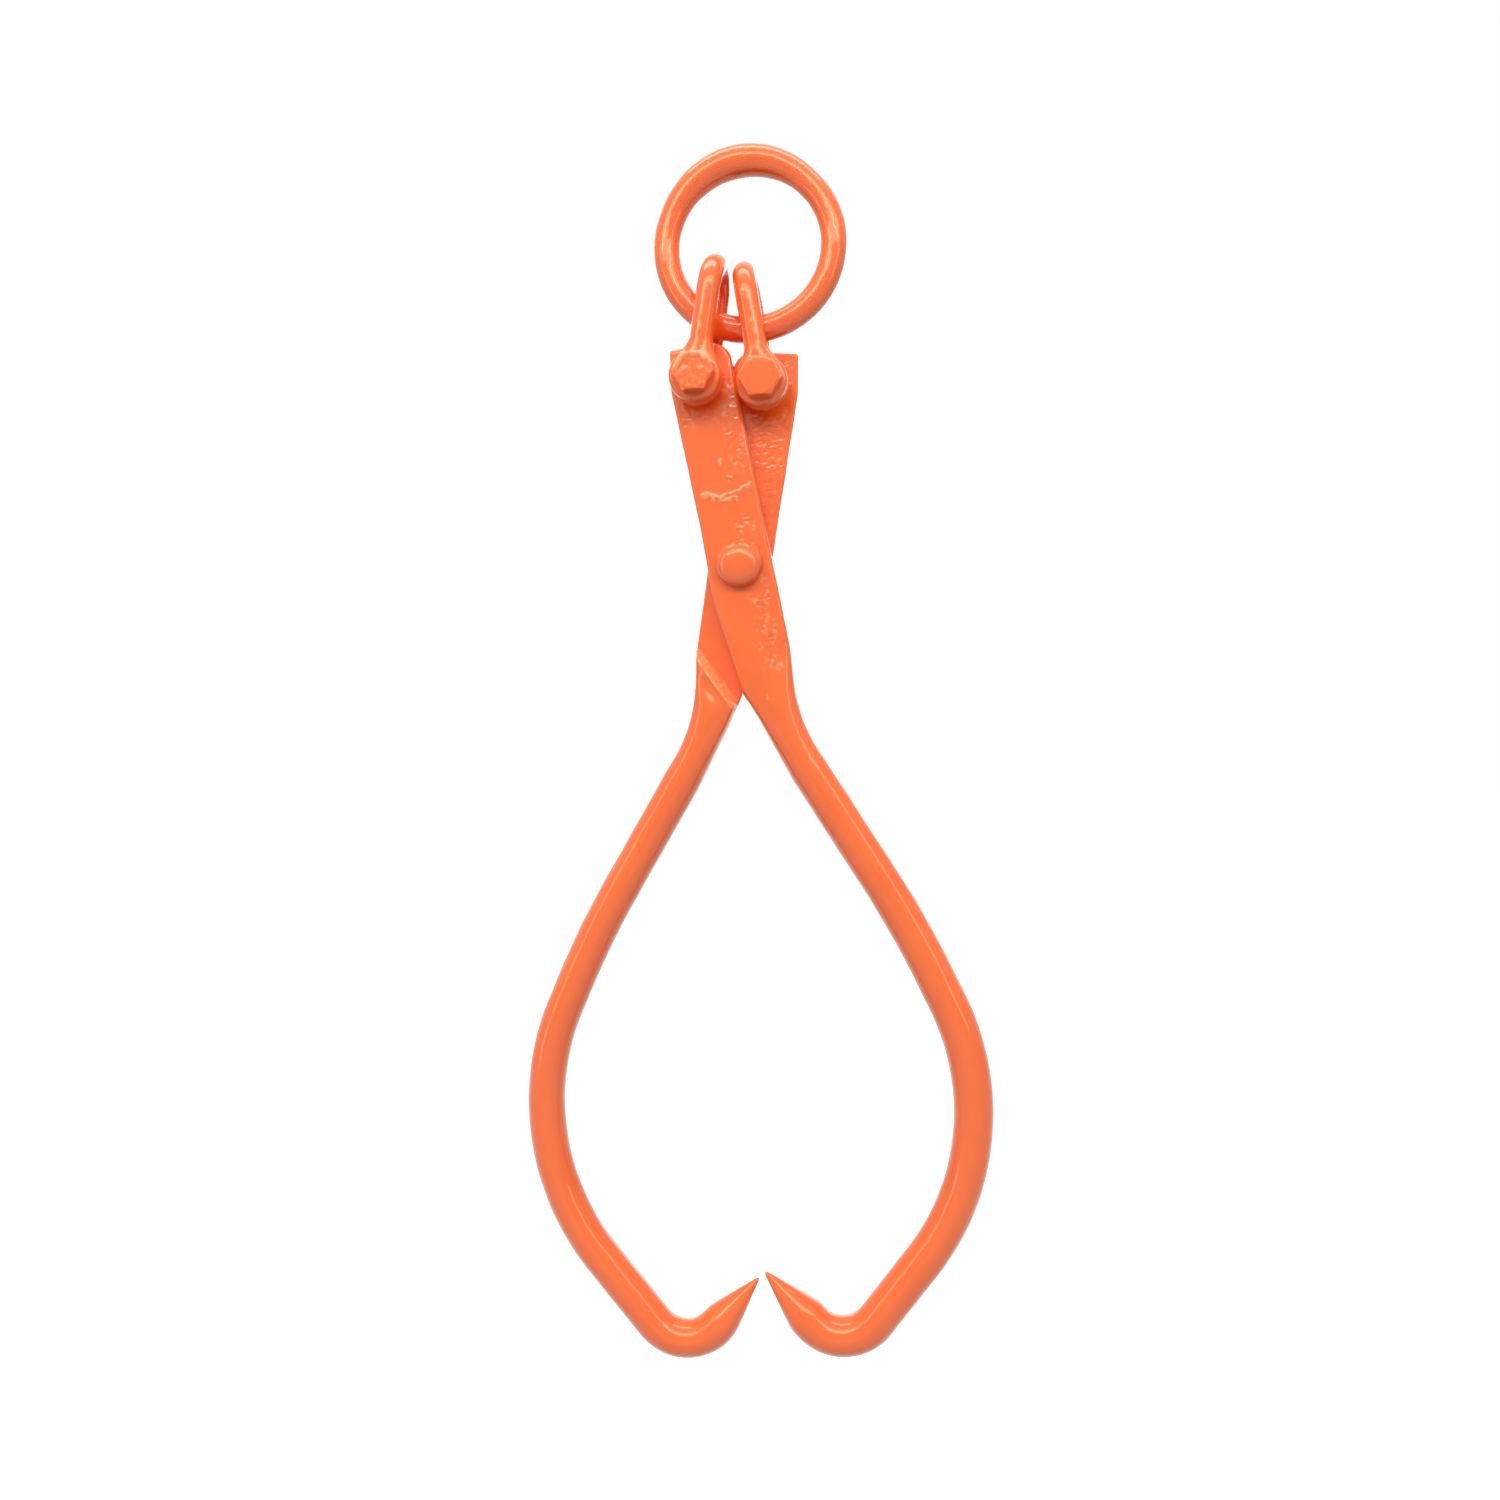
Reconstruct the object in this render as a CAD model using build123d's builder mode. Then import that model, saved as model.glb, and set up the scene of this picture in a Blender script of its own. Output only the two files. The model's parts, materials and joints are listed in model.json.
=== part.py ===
from build123d import *
import math
import os

os.makedirs("parts", exist_ok=True)

# Lifting tongs hanging from their ring, jaws closed. Millimetres.
# +Z is up, +X is to the right seen from the front, and the front looks along -Y.
# The origin is the inside top of the ring, where a crane hook bears.

# Lift ring
RING_BORE = 65.0
RING_WIRE = 12.0
RING_CROWN_WIRE = 14.6
RING_CROWN_TURN = 8.0
RING_SWELL_HALF_ANGLE = 65.0
RING_SWELL_SECTIONS = 7

# Shackles: reach is from the bolt's axis to the inside of the bow
SHACKLE_WIRE = 10.4
SHACKLE_JAW = 17.3
SHACKLE_REACH = 49.4
LEFT_SHACKLE_LEAN = 9.9
RIGHT_SHACKLE_LEAN = 7.8
EAR_DIAMETER = 23.6
EAR_THICKNESS = 10.8
EAR_NECK_WIDTH = 20.0
EAR_NECK_FOOT = 6.0
EAR_NECK_HEIGHT = 19.0
EAR_NECK_SINK = 0.15

# Shackle bolts, lock washers and nuts
BOLT_DIAMETER = 10.0
BOLT_HEAD_HEIGHT = 6.6
BOLT_END_PROUD = 2.5
BOLT_END_CHAMFER = 1.2
HEX_FLATS = 16.4
HEX_FACE_SHARE = 0.95
HEX_CHAMFER_ANGLE = 30.0
NUT_HEIGHT = 8.0
WASHER_DIAMETER = 17.0
WASHER_THICKNESS = 2.2
WASHER_SPLIT = 1.6
WASHER_SPLIT_SLANT = 25.0

# Pivot rivet, domed at both ends
RIVET_DIAMETER = 12.0
RIVET_HEAD_DIAMETER = 20.6
RIVET_HEAD_HEIGHT = 7.6
RIVET_HEAD_RIM = 1.4

# Lap half of an arm, measured along its own axis from the rivet
LAP_TILT = 9.5
LAP_THICKNESS = 8.0
LAP_OFFSET = 0.1
LAP_TOP = 101.5
LAP_TOP_SLOPE = 2.0
LAP_TOP_WIDTH = 30.0
LAP_TOP_NARROWING = 3.2
LAP_TOP_NARROWS_AT = 79.0
LAP_WAIST_WIDTH = 28.4
LAP_WAIST_AT = 20.0
LAP_SWELL_WIDTH = 29.8
LAP_SWELL_AT = -15.0
LAP_INNER_CORNER = 9.0
LAP_OUTER_CORNER = 2.0
LAP_SIDE_ROUND = 45.0
LAP_KINK_ROUND = 15.0
LAP_EDGE_ROUND = 1.2
EYE_REACH = 83.3
EYE_OFFSET = 0.8

# Root of an arm, where the lap half grows into the round bar
ROOT_START = -30.0
ROOT_HEEL = (23.7, -51.0)
ROOT_HEEL_LOW = (26.9, -76.1)
ROOT_HEEL_ROUND = 55.0
ROOT_CROTCH = (0.8, -57.8)
ROOT_CROTCH_LOW = (8.8, -70.8)
ROOT_END_BEYOND_NECK = 20.0
ROOT_BLEND_WIDTH = 38.0
ROOT_BLEND_THICKNESS = 27.0
ROOT_END_SINK = 0.4
SHOULDER_OUTER = (17.6, -38.4)
SHOULDER_INNER = (1.9, -61.8)
SHOULDER_SLOPE = 18.0
SHOULDER_FOOT_ROUND = 1.5

# Round bar of an arm: corners of its centreline and the radii of its bends
BAR_DIAMETER = 16.6
BAR_START = (16.2, -70.0)
BAR_NECK = (19.0, -78.0)
BAR_SHOULDER = (73.0, -166.5)
BAR_BELLY = (115.4, -261.0)
BAR_HOOK = (36.6, -359.5)
BAR_TIP = (1.5, -321.0)
NECK_RADIUS = 60.0
SHOULDER_RADIUS = 164.0
BELLY_RADIUS = 110.0
HOOK_RADIUS = 19.4
POINT_LENGTH = 25.5
POINT_TIP = 1.2

# Places of the assembly
RING_TO_BOLTS = 65.0
RING_SIDE_OFFSET = 10.0
RIVET_HOLE_STAGGER = 2.8

# Clearances
LAP_GAP = 0.3
RIVET_HEAD_GAP = 0.15
RIVET_CLEARANCE = 0.08
BOLT_CLEARANCE = 0.08
RING_SIDE_GAP = 0.35

# Worked out from the sizes above
LAP_COS = math.cos(math.radians(LAP_TILT))
LAP_SIN = math.sin(math.radians(LAP_TILT))
LAP_INNER_FACE = LAP_GAP / 2
LAP_OUTER_FACE = LAP_INNER_FACE + LAP_THICKNESS
BAR_RADIUS = BAR_DIAMETER / 2
RING_CENTRE_Z = -RING_BORE / 2
BOLT_HOLE_RADIUS = BOLT_DIAMETER / 2 + BOLT_CLEARANCE
RIVET_HOLE_RADIUS = RIVET_DIAMETER / 2 + RIVET_CLEARANCE
SHACKLE_LEG = (SHACKLE_JAW + EAR_THICKNESS) / 2
SHACKLE_SHIFT = SHACKLE_LEG - SHACKLE_WIRE / 2 - RING_WIRE / 2 - RING_SIDE_GAP
EAR_OUTER_FACE = SHACKLE_JAW / 2 + EAR_THICKNESS


def across(v, s):
    """Point of an arm's plane at v across and s up the lap half's tilted axis."""
    return (v * LAP_COS - s * LAP_SIN, v * LAP_SIN + s * LAP_COS)


def on(plane, x, y, z=0.0):
    """Point of space at local coordinates of a plane."""
    return plane.from_local_coords(Vector(x, y, z))


def heading(start, end):
    """Unit vector from one flat point to another."""
    length = math.dist(start, end)
    return ((end[0] - start[0]) / length, (end[1] - start[1]) / length)


EYE = across(-EYE_OFFSET, EYE_REACH)
PIVOT_X = -RING_SIDE_OFFSET
PIVOT_Z = RING_CENTRE_Z - RING_TO_BOLTS - EYE[1]
PIVOT = (PIVOT_X, 0, PIVOT_Z)
STAGGER = RIVET_HOLE_STAGGER / 2
FRONT_ARM_PLANE = Plane(origin=(PIVOT_X, 0, PIVOT_Z + STAGGER), x_dir=(1, 0, 0), z_dir=(0, -1, 0))
REAR_ARM_PLANE = Plane(origin=(PIVOT_X, 0, PIVOT_Z - STAGGER), x_dir=(-1, 0, 0), z_dir=(0, 1, 0))
FRONT_EYE = on(FRONT_ARM_PLANE, *EYE)
REAR_EYE = on(REAR_ARM_PLANE, *EYE)


# Lift ring: plain round wire for most of the way, swollen at the closed crown
def ring_section(angle, radius):
    """Plane across the ring's wire, whose inside always lies on the bore."""
    a = math.radians(angle)
    reach = RING_BORE / 2 + radius
    spot = (reach * math.cos(a), 0, RING_CENTRE_Z + reach * math.sin(a))
    return Plane(origin=spot, z_dir=(-math.sin(a), 0, math.cos(a)))


with BuildPart() as lift_ring:
    swell_start = 90 + RING_CROWN_TURN - RING_SWELL_HALF_ANGLE
    swell_end = 90 + RING_CROWN_TURN + RING_SWELL_HALF_ANGLE
    with BuildSketch(ring_section(swell_end, RING_WIRE / 2)):
        Circle(RING_WIRE / 2)
    revolve(
        axis=Axis((0, 0, RING_CENTRE_Z), (0, -1, 0)),
        revolution_arc=360 - 2 * RING_SWELL_HALF_ANGLE,
    )
    for index in range(RING_SWELL_SECTIONS):
        share = index / (RING_SWELL_SECTIONS - 1)
        angle = swell_start + share * (swell_end - swell_start)
        bump = (1 - (2 * share - 1) ** 2) ** 2
        wire_radius = (RING_WIRE + bump * (RING_CROWN_WIRE - RING_WIRE)) / 2
        with BuildSketch(ring_section(angle, wire_radius)):
            Circle(wire_radius)
    loft()

lift_ring.part.label = "lift_ring"
export_step(lift_ring.part, "parts/lift_ring.step")


# Shackles: a round bow on two drilled ears
def lean_direction(side):
    """Unit vector from the bolt to the bow, leaning towards the other shackle."""
    lean = math.radians(LEFT_SHACKLE_LEAN if side < 0 else RIGHT_SHACKLE_LEAN)
    return (-side * math.sin(lean), 0, math.cos(lean))


def make_shackle(eye, side):
    """Shackle round an arm's eye: side is -1 for the left one, 1 for the right one."""
    up = lean_direction(side)
    centre = (eye.X, side * SHACKLE_SHIFT, eye.Z)
    bow_plane = Plane(origin=centre, x_dir=(0, 1, 0), z_dir=(up[2], 0, -up[0]))
    shoulder = SHACKLE_REACH + SHACKLE_WIRE / 2 - SHACKLE_LEG
    with BuildPart() as shackle:
        with BuildLine(bow_plane) as bow:
            Line((-SHACKLE_LEG, EAR_NECK_FOOT), (-SHACKLE_LEG, shoulder))
            ThreePointArc((-SHACKLE_LEG, shoulder), (0, shoulder + SHACKLE_LEG), (SHACKLE_LEG, shoulder))
            Line((SHACKLE_LEG, shoulder), (SHACKLE_LEG, EAR_NECK_FOOT))
        with BuildSketch(Plane(origin=on(bow_plane, -SHACKLE_LEG, EAR_NECK_FOOT), z_dir=up)):
            Circle(SHACKLE_WIRE / 2)
        sweep(path=bow.line)
        for ear_side in (-1, 1):
            face = on(bow_plane, ear_side * SHACKLE_JAW / 2, 0)
            with BuildSketch(Plane(origin=face, x_dir=(1, 0, 0), z_dir=(0, ear_side, 0))):
                Circle(EAR_DIAMETER / 2)
            extrude(amount=EAR_THICKNESS)
            foot = on(bow_plane, ear_side * SHACKLE_LEG, EAR_NECK_FOOT)
            head = on(bow_plane, ear_side * SHACKLE_LEG, EAR_NECK_HEIGHT)
            with BuildSketch(Plane(origin=foot, x_dir=(0, 1, 0), z_dir=up)):
                Ellipse(EAR_THICKNESS / 2 - EAR_NECK_SINK, EAR_NECK_WIDTH / 2)
            with BuildSketch(Plane(origin=head, x_dir=(0, 1, 0), z_dir=up)):
                Circle(SHACKLE_WIRE / 2 - EAR_NECK_SINK)
            loft()
        with BuildSketch(Plane(origin=centre, x_dir=(1, 0, 0), z_dir=(0, 1, 0))):
            Circle(BOLT_HOLE_RADIUS)
        extrude(amount=EAR_OUTER_FACE, both=True, mode=Mode.SUBTRACT)
    return shackle


left_shackle = make_shackle(FRONT_EYE, -1)
left_shackle.part.label = "left_shackle"
export_step(left_shackle.part, "parts/left_shackle.step")

right_shackle = make_shackle(REAR_EYE, 1)
right_shackle.part.label = "right_shackle"
export_step(right_shackle.part, "parts/right_shackle.step")


# Hexagon with its corners turned off at the top: both the bolt's head and the nut
def hex_block(plane, height, both_ends):
    """Hexagonal block that stands on a plane, its corners chamfered by a turned cone."""
    corner = HEX_FLATS / math.sqrt(3)
    face = HEX_FLATS / 2 * HEX_FACE_SHARE
    drop = (corner - face) * math.tan(math.radians(HEX_CHAMFER_ANGLE))
    bottom = [(0, 0), (face, 0), (corner, drop)] if both_ends else [(0, 0), (corner, 0)]
    top = [(corner, height - drop), (face, height), (0, height)]
    turned = Plane(origin=plane.origin, x_dir=plane.x_dir, z_dir=-plane.y_dir)
    with BuildPart() as block:
        with BuildSketch(turned):
            with BuildLine():
                Polyline(*bottom, *top, close=True)
            make_face()
        revolve(axis=Axis(plane.origin, plane.z_dir))
        with BuildSketch(plane):
            RegularPolygon(HEX_FLATS / 2, 6, major_radius=False)
        extrude(amount=height, mode=Mode.INTERSECT)
    return block


# Bolts: the head is on the front ear, the thread end passes the nut
def make_bolt(eye, side):
    """Hex bolt through a shackle and an arm's eye."""
    seat = (eye.X, side * SHACKLE_SHIFT - EAR_OUTER_FACE, eye.Z)
    head_plane = Plane(origin=seat, x_dir=(1, 0, 0), z_dir=(0, -1, 0))
    head = hex_block(head_plane, BOLT_HEAD_HEIGHT, False)
    length = 2 * EAR_OUTER_FACE + WASHER_THICKNESS + NUT_HEIGHT + BOLT_END_PROUD
    with BuildPart() as bolt:
        add(head.part)
        with BuildSketch(head_plane):
            Circle(BOLT_DIAMETER / 2)
        extrude(amount=-length)
        end = bolt.edges().filter_by(GeomType.CIRCLE).sort_by(Axis.Y)[-1]
        chamfer(end, BOLT_END_CHAMFER)
    return bolt


left_bolt = make_bolt(FRONT_EYE, -1)
left_bolt.part.label = "left_bolt"
export_step(left_bolt.part, "parts/left_bolt.step")

right_bolt = make_bolt(REAR_EYE, 1)
right_bolt.part.label = "right_bolt"
export_step(right_bolt.part, "parts/right_bolt.step")


# Lock washers: flat rings with one slanted split, behind the rear ears
def make_lock_washer(eye, side):
    """Split spring washer, pressed flat under its nut."""
    seat_y = side * SHACKLE_SHIFT + EAR_OUTER_FACE
    seat = Plane(origin=(eye.X, seat_y, eye.Z), x_dir=(1, 0, 0), z_dir=(0, 1, 0))
    middle = on(seat, 0, 0, WASHER_THICKNESS / 2)
    slant = math.radians(WASHER_SPLIT_SLANT)
    along = (math.sin(slant), math.cos(slant), 0)
    split_plane = Plane(origin=middle, x_dir=(0, 0, 1), z_dir=along)
    with BuildPart() as washer:
        with BuildSketch(seat):
            Circle(WASHER_DIAMETER / 2)
            Circle(BOLT_HOLE_RADIUS, mode=Mode.SUBTRACT)
        extrude(amount=WASHER_THICKNESS)
        with BuildSketch(split_plane):
            Rectangle(WASHER_DIAMETER, WASHER_SPLIT, align=(Align.MIN, Align.CENTER))
        extrude(amount=WASHER_THICKNESS, both=True, mode=Mode.SUBTRACT)
    return washer


left_lock_washer = make_lock_washer(FRONT_EYE, -1)
left_lock_washer.part.label = "left_lock_washer"
export_step(left_lock_washer.part, "parts/left_lock_washer.step")

right_lock_washer = make_lock_washer(REAR_EYE, 1)
right_lock_washer.part.label = "right_lock_washer"
export_step(right_lock_washer.part, "parts/right_lock_washer.step")


# Nuts: chamfered at both ends, on the lock washers
def make_nut(eye, side):
    """Hex nut on a shackle bolt."""
    seat_y = side * SHACKLE_SHIFT + EAR_OUTER_FACE + WASHER_THICKNESS
    seat = Plane(origin=(eye.X, seat_y, eye.Z), x_dir=(1, 0, 0), z_dir=(0, 1, 0))
    block = hex_block(seat, NUT_HEIGHT, True)
    with BuildPart() as nut:
        add(block.part)
        with BuildSketch(seat):
            Circle(BOLT_HOLE_RADIUS)
        extrude(amount=NUT_HEIGHT, mode=Mode.SUBTRACT)
    return nut


left_nut = make_nut(FRONT_EYE, -1)
left_nut.part.label = "left_nut"
export_step(left_nut.part, "parts/left_nut.step")

right_nut = make_nut(REAR_EYE, 1)
right_nut.part.label = "right_nut"
export_step(right_nut.part, "parts/right_nut.step")


# Arms: one forging, used twice, turned half round about the vertical
def root_middle(share):
    """Middle of the root and its heading, on a curve from the lap half to the bar."""
    start = across(LAP_OFFSET, ROOT_START)
    away = heading(BAR_NECK, BAR_SHOULDER)
    end = (BAR_NECK[0] + ROOT_END_BEYOND_NECK * away[0], BAR_NECK[1] + ROOT_END_BEYOND_NECK * away[1])
    # The curve leaves along the lap half's axis and arrives along the bar
    gap = (end[0] - start[0], end[1] - start[1])
    cross = LAP_SIN * away[1] + LAP_COS * away[0]
    reach = (gap[0] * away[1] - gap[1] * away[0]) / cross
    bend = (start[0] + reach * LAP_SIN, start[1] - reach * LAP_COS)
    first = [a + share * (b - a) for a, b in zip(start, bend)]
    second = [a + share * (b - a) for a, b in zip(bend, end)]
    spot = [a + share * (b - a) for a, b in zip(first, second)]
    return spot, heading(first, second)


def arm_outline():
    """Corners of the lap half and root seen from the front, and their roundings."""
    half_top = LAP_TOP_WIDTH / 2
    half_waist = LAP_WAIST_WIDTH / 2
    half_swell = LAP_SWELL_WIDTH / 2
    end, away = root_middle(1.0)
    corners = [
        (across(LAP_OFFSET - half_top + LAP_TOP_NARROWING, LAP_TOP), LAP_OUTER_CORNER),
        (across(LAP_OFFSET + half_top, LAP_TOP - LAP_TOP_SLOPE), LAP_INNER_CORNER),
        (across(LAP_OFFSET + half_waist, LAP_WAIST_AT), LAP_SIDE_ROUND),
        (across(LAP_OFFSET + half_swell, LAP_SWELL_AT), LAP_SIDE_ROUND),
        (ROOT_HEEL, LAP_SIDE_ROUND),
        (ROOT_HEEL_LOW, ROOT_HEEL_ROUND),
        ((end[0] - BAR_RADIUS * away[1], end[1] + BAR_RADIUS * away[0]), 0),
        ((end[0] + BAR_RADIUS * away[1], end[1] - BAR_RADIUS * away[0]), 0),
        (ROOT_CROTCH_LOW, LAP_SIDE_ROUND),
        (ROOT_CROTCH, LAP_KINK_ROUND),
        (across(LAP_OFFSET - half_swell, LAP_SWELL_AT), LAP_SIDE_ROUND),
        (across(LAP_OFFSET - half_waist, LAP_WAIST_AT), LAP_SIDE_ROUND),
        (across(LAP_OFFSET - half_top, LAP_TOP_NARROWS_AT), LAP_KINK_ROUND),
    ]
    return corners


def forge_arm(plane, hole_height):
    """Arm on its own plane, with the rivet hole at the given height there."""
    corners = arm_outline()
    with BuildPart() as slab:
        with BuildSketch(plane.offset(-BAR_RADIUS)):
            with BuildLine():
                FilletPolyline(*[c[0] for c in corners], radius=[c[1] for c in corners], close=True)
            make_face()
        extrude(amount=BAR_RADIUS + LAP_OUTER_FACE)
        rims = slab.faces().filter_by(Axis.Y)
        fillet(rims.edges(), LAP_EDGE_ROUND)

    # Below the lap half the slab is rounded little by little until it sinks into the bar
    root_end = BAR_DIAMETER - ROOT_END_SINK
    with BuildPart() as root:
        add(slab.part)
        for share in (0.0, 0.5, 1.0):
            spot, away = root_middle(share)
            face = on(plane, *spot)
            along = on(plane, away[0], away[1]) - plane.origin
            with BuildSketch(Plane(origin=face, x_dir=plane.z_dir, z_dir=along)):
                thickness = ROOT_BLEND_THICKNESS + share * (root_end - ROOT_BLEND_THICKNESS)
                width = ROOT_BLEND_WIDTH + share * (root_end - ROOT_BLEND_WIDTH)
                Ellipse(thickness / 2, width / 2)
        loft(mode=Mode.INTERSECT)

    bar_run = heading(BAR_HOOK, BAR_TIP)
    point_base = (BAR_TIP[0] - POINT_LENGTH * bar_run[0], BAR_TIP[1] - POINT_LENGTH * bar_run[1])
    first_run = heading(BAR_START, BAR_NECK)
    start_spot, start_away = root_middle(0.0)
    cut_plane = Plane(origin=on(plane, *start_spot), z_dir=plane.origin - on(plane, *start_away))
    with BuildPart() as arm:
        add(slab.part)
        split(bisect_by=cut_plane, keep=Keep.TOP)
        add(root.part)

        # Round bar, swept along straight runs and tangent bends
        with BuildLine(plane) as bar:
            FilletPolyline(
                BAR_START, BAR_NECK, BAR_SHOULDER, BAR_BELLY, BAR_HOOK, point_base,
                radius=[NECK_RADIUS, SHOULDER_RADIUS, BELLY_RADIUS, HOOK_RADIUS],
            )
        start_along = on(plane, *first_run) - plane.origin
        with BuildSketch(Plane(origin=on(plane, *BAR_START), z_dir=start_along)):
            Circle(BAR_RADIUS)
        sweep(path=bar.line)

        # Conical point
        point_along = on(plane, *bar_run) - plane.origin
        point_origin = on(plane, *point_base)
        point_side = point_along.cross(plane.z_dir)
        point_corners = [(0, 0), (BAR_RADIUS, 0), (POINT_TIP / 2, POINT_LENGTH), (0, POINT_LENGTH)]
        with BuildSketch(Plane(origin=point_origin, x_dir=point_side, z_dir=plane.z_dir)):
            with BuildLine():
                Polyline(*point_corners, close=True)
            make_face()
        revolve(axis=Axis(point_origin, point_along))

        # Lap recess: all that lies behind the lap face, above the slanted shoulder
        up_slope = heading(SHOULDER_INNER, SHOULDER_OUTER)
        shoulder_along = on(plane, *up_slope) - plane.origin
        shoulder_away = on(plane, -up_slope[1], up_slope[0]) - plane.origin
        recess_depth = 2 * BAR_RADIUS
        recess_reach = 2 * LAP_TOP
        run = (recess_depth + LAP_INNER_FACE) * math.tan(math.radians(SHOULDER_SLOPE))
        foot = (0, LAP_INNER_FACE)
        rim = (-run, -recess_depth)
        far_corners = [(recess_reach, -recess_depth), (recess_reach, LAP_INNER_FACE)]
        shoulder_origin = on(plane, *SHOULDER_INNER)
        with BuildSketch(Plane(origin=shoulder_origin, x_dir=shoulder_away, z_dir=shoulder_along)):
            with BuildLine():
                FilletPolyline(foot, rim, *far_corners, radius=[SHOULDER_FOOT_ROUND, 0, 0, 0], close=True)
            make_face()
        extrude(amount=recess_reach, both=True, mode=Mode.SUBTRACT)

        # Holes for the rivet and the shackle bolt
        with BuildSketch(plane):
            with Locations((0, hole_height)):
                Circle(RIVET_HOLE_RADIUS)
            with Locations(EYE):
                Circle(BOLT_HOLE_RADIUS)
        extrude(amount=LAP_OUTER_FACE, mode=Mode.SUBTRACT)
    return arm


front_arm = forge_arm(FRONT_ARM_PLANE, -STAGGER)
front_arm.part.label = "front_arm"
export_step(front_arm.part, "parts/front_arm.step")

rear_arm = forge_arm(REAR_ARM_PLANE, STAGGER)
rear_arm.part.label = "rear_arm"
export_step(rear_arm.part, "parts/rear_arm.step")


# Pivot rivet: a plain shank with a dome at both ends
with BuildPart() as pivot_rivet:
    head_seat = LAP_OUTER_FACE + RIVET_HEAD_GAP
    with BuildSketch(Plane(origin=PIVOT, x_dir=(1, 0, 0), z_dir=(0, 1, 0))):
        Circle(RIVET_DIAMETER / 2)
    extrude(amount=head_seat, both=True)
    for outward in (-1, 1):
        seat = (PIVOT_X, outward * head_seat, PIVOT_Z)
        rise = RIVET_HEAD_HEIGHT - RIVET_HEAD_RIM
        half = RIVET_HEAD_DIAMETER / 2
        dome_radius = (half**2 + rise**2) / (2 * rise)
        with BuildSketch(Plane(origin=seat, x_dir=(1, 0, 0), z_dir=(0, 0, outward))):
            with BuildLine():
                Polyline((0, RIVET_HEAD_HEIGHT), (0, 0), (half, 0), (half, RIVET_HEAD_RIM))
                RadiusArc((half, RIVET_HEAD_RIM), (0, RIVET_HEAD_HEIGHT), -dome_radius)
            make_face()
        revolve(axis=Axis(seat, (0, outward, 0)))

pivot_rivet.part.label = "pivot_rivet"
export_step(pivot_rivet.part, "parts/pivot_rivet.step")
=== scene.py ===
"""Forged lifting tongs, dipped in orange paint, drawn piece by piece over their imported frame."""

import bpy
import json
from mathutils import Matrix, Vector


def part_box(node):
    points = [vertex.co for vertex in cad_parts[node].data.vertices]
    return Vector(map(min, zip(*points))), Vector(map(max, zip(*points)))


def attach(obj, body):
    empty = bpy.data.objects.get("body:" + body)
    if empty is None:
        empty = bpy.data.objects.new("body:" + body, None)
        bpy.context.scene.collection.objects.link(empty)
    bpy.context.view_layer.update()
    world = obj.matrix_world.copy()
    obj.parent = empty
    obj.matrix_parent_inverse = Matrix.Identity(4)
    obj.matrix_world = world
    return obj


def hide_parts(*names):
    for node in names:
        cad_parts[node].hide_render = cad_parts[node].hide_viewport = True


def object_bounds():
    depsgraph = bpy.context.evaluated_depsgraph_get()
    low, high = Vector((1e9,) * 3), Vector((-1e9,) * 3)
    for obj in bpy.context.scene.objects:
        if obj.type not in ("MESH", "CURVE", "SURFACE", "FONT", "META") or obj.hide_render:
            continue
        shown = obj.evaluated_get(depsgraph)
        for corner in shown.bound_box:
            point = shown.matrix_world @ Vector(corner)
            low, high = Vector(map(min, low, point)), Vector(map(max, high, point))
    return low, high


bl_info = {
    "name": "Forged lifting tongs",
    "version": (1, 0, 0),
    "blender": (4, 5, 0),
    "location": "3D View > Sidebar > Tongs",
    "description": "Builds a pair of painted lifting tongs and a plain studio around them",
    "category": "Add Mesh",
}

import json
import math
from typing import NamedTuple

import bmesh
import bpy
import numpy as np
from bpy.props import FloatProperty, FloatVectorProperty, PointerProperty
from bpy.types import Operator, Panel, PropertyGroup
from mathutils import Matrix, Vector

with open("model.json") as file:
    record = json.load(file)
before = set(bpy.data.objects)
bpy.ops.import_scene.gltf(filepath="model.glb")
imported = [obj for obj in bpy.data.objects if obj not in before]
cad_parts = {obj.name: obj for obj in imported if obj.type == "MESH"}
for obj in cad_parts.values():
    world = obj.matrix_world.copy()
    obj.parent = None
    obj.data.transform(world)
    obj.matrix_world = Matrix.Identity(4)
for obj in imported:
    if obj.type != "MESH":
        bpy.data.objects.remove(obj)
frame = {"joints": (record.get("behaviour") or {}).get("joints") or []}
CAD_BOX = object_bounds()

# Shapes are worked out in millimetres, as on a drawing, and turned into metres in make_piece
MM = 0.001


def joint_place(name):
    """Where a joint's axis stands, in millimetres."""
    joint = next(j for j in frame["joints"] if j["name"] == name)
    return np.array(joint["pos_m"]) / MM


def node_box(node):
    """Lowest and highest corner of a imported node, in millimetres."""
    low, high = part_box(node)
    return np.array(low) / MM, np.array(high) / MM


# Places that the frame gives
PIVOT = joint_place("jaw_pivot")
LEFT_EYE = joint_place("front_arm_on_left_bolt")
RIGHT_EYE = joint_place("right_shackle_on_rear_arm")
RING_LOW, RING_HIGH = node_box("lift_ring")

# Lap half of an arm, along its own tilted axis from the rivet
LAP_TILT = math.radians(9.5)
LAP_TOP = 101.5
LAP_TOP_SLOPE = 2.0
LAP_TOP_HALF = 15.0
LAP_KINK_AT = 83.0
LAP_WAIST_AT = 20.0
LAP_SWELL_AT = -15.0
INNER_CORNER = 9.0
OUTER_CORNER = 2.0
SIDE_ROUND = 45.0
KINK_ROUND = 15.0
LAP_INNER_FACE = 0.15
RIVET_STAGGER = 1.4
EYE_HOLE = 5.08
RIVET_HOLE = 6.08

# Root of an arm, between the lap half and the round bar, on the arm's own plane
HEEL_ROUND = 70.0
ROOT_BEYOND_NECK = 20.0
SHOULDER_INNER = (1.9, -61.8)
SHOULDER_OUTER = (17.6, -38.4)
SHOULDER_RUN = 2.75
ROOT_DENT = (13.6, -54.6)
ROOT_DENT_DEPTH = 1.6

# Bends of the round bar, from the neck to the hook
BAR_RADII = (60.0, 420.0, 110.0, 19.4)
POINT_LENGTH = 25.5
POINT_TIP = 0.6

RIVET_SHIFT = 1.3


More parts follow.
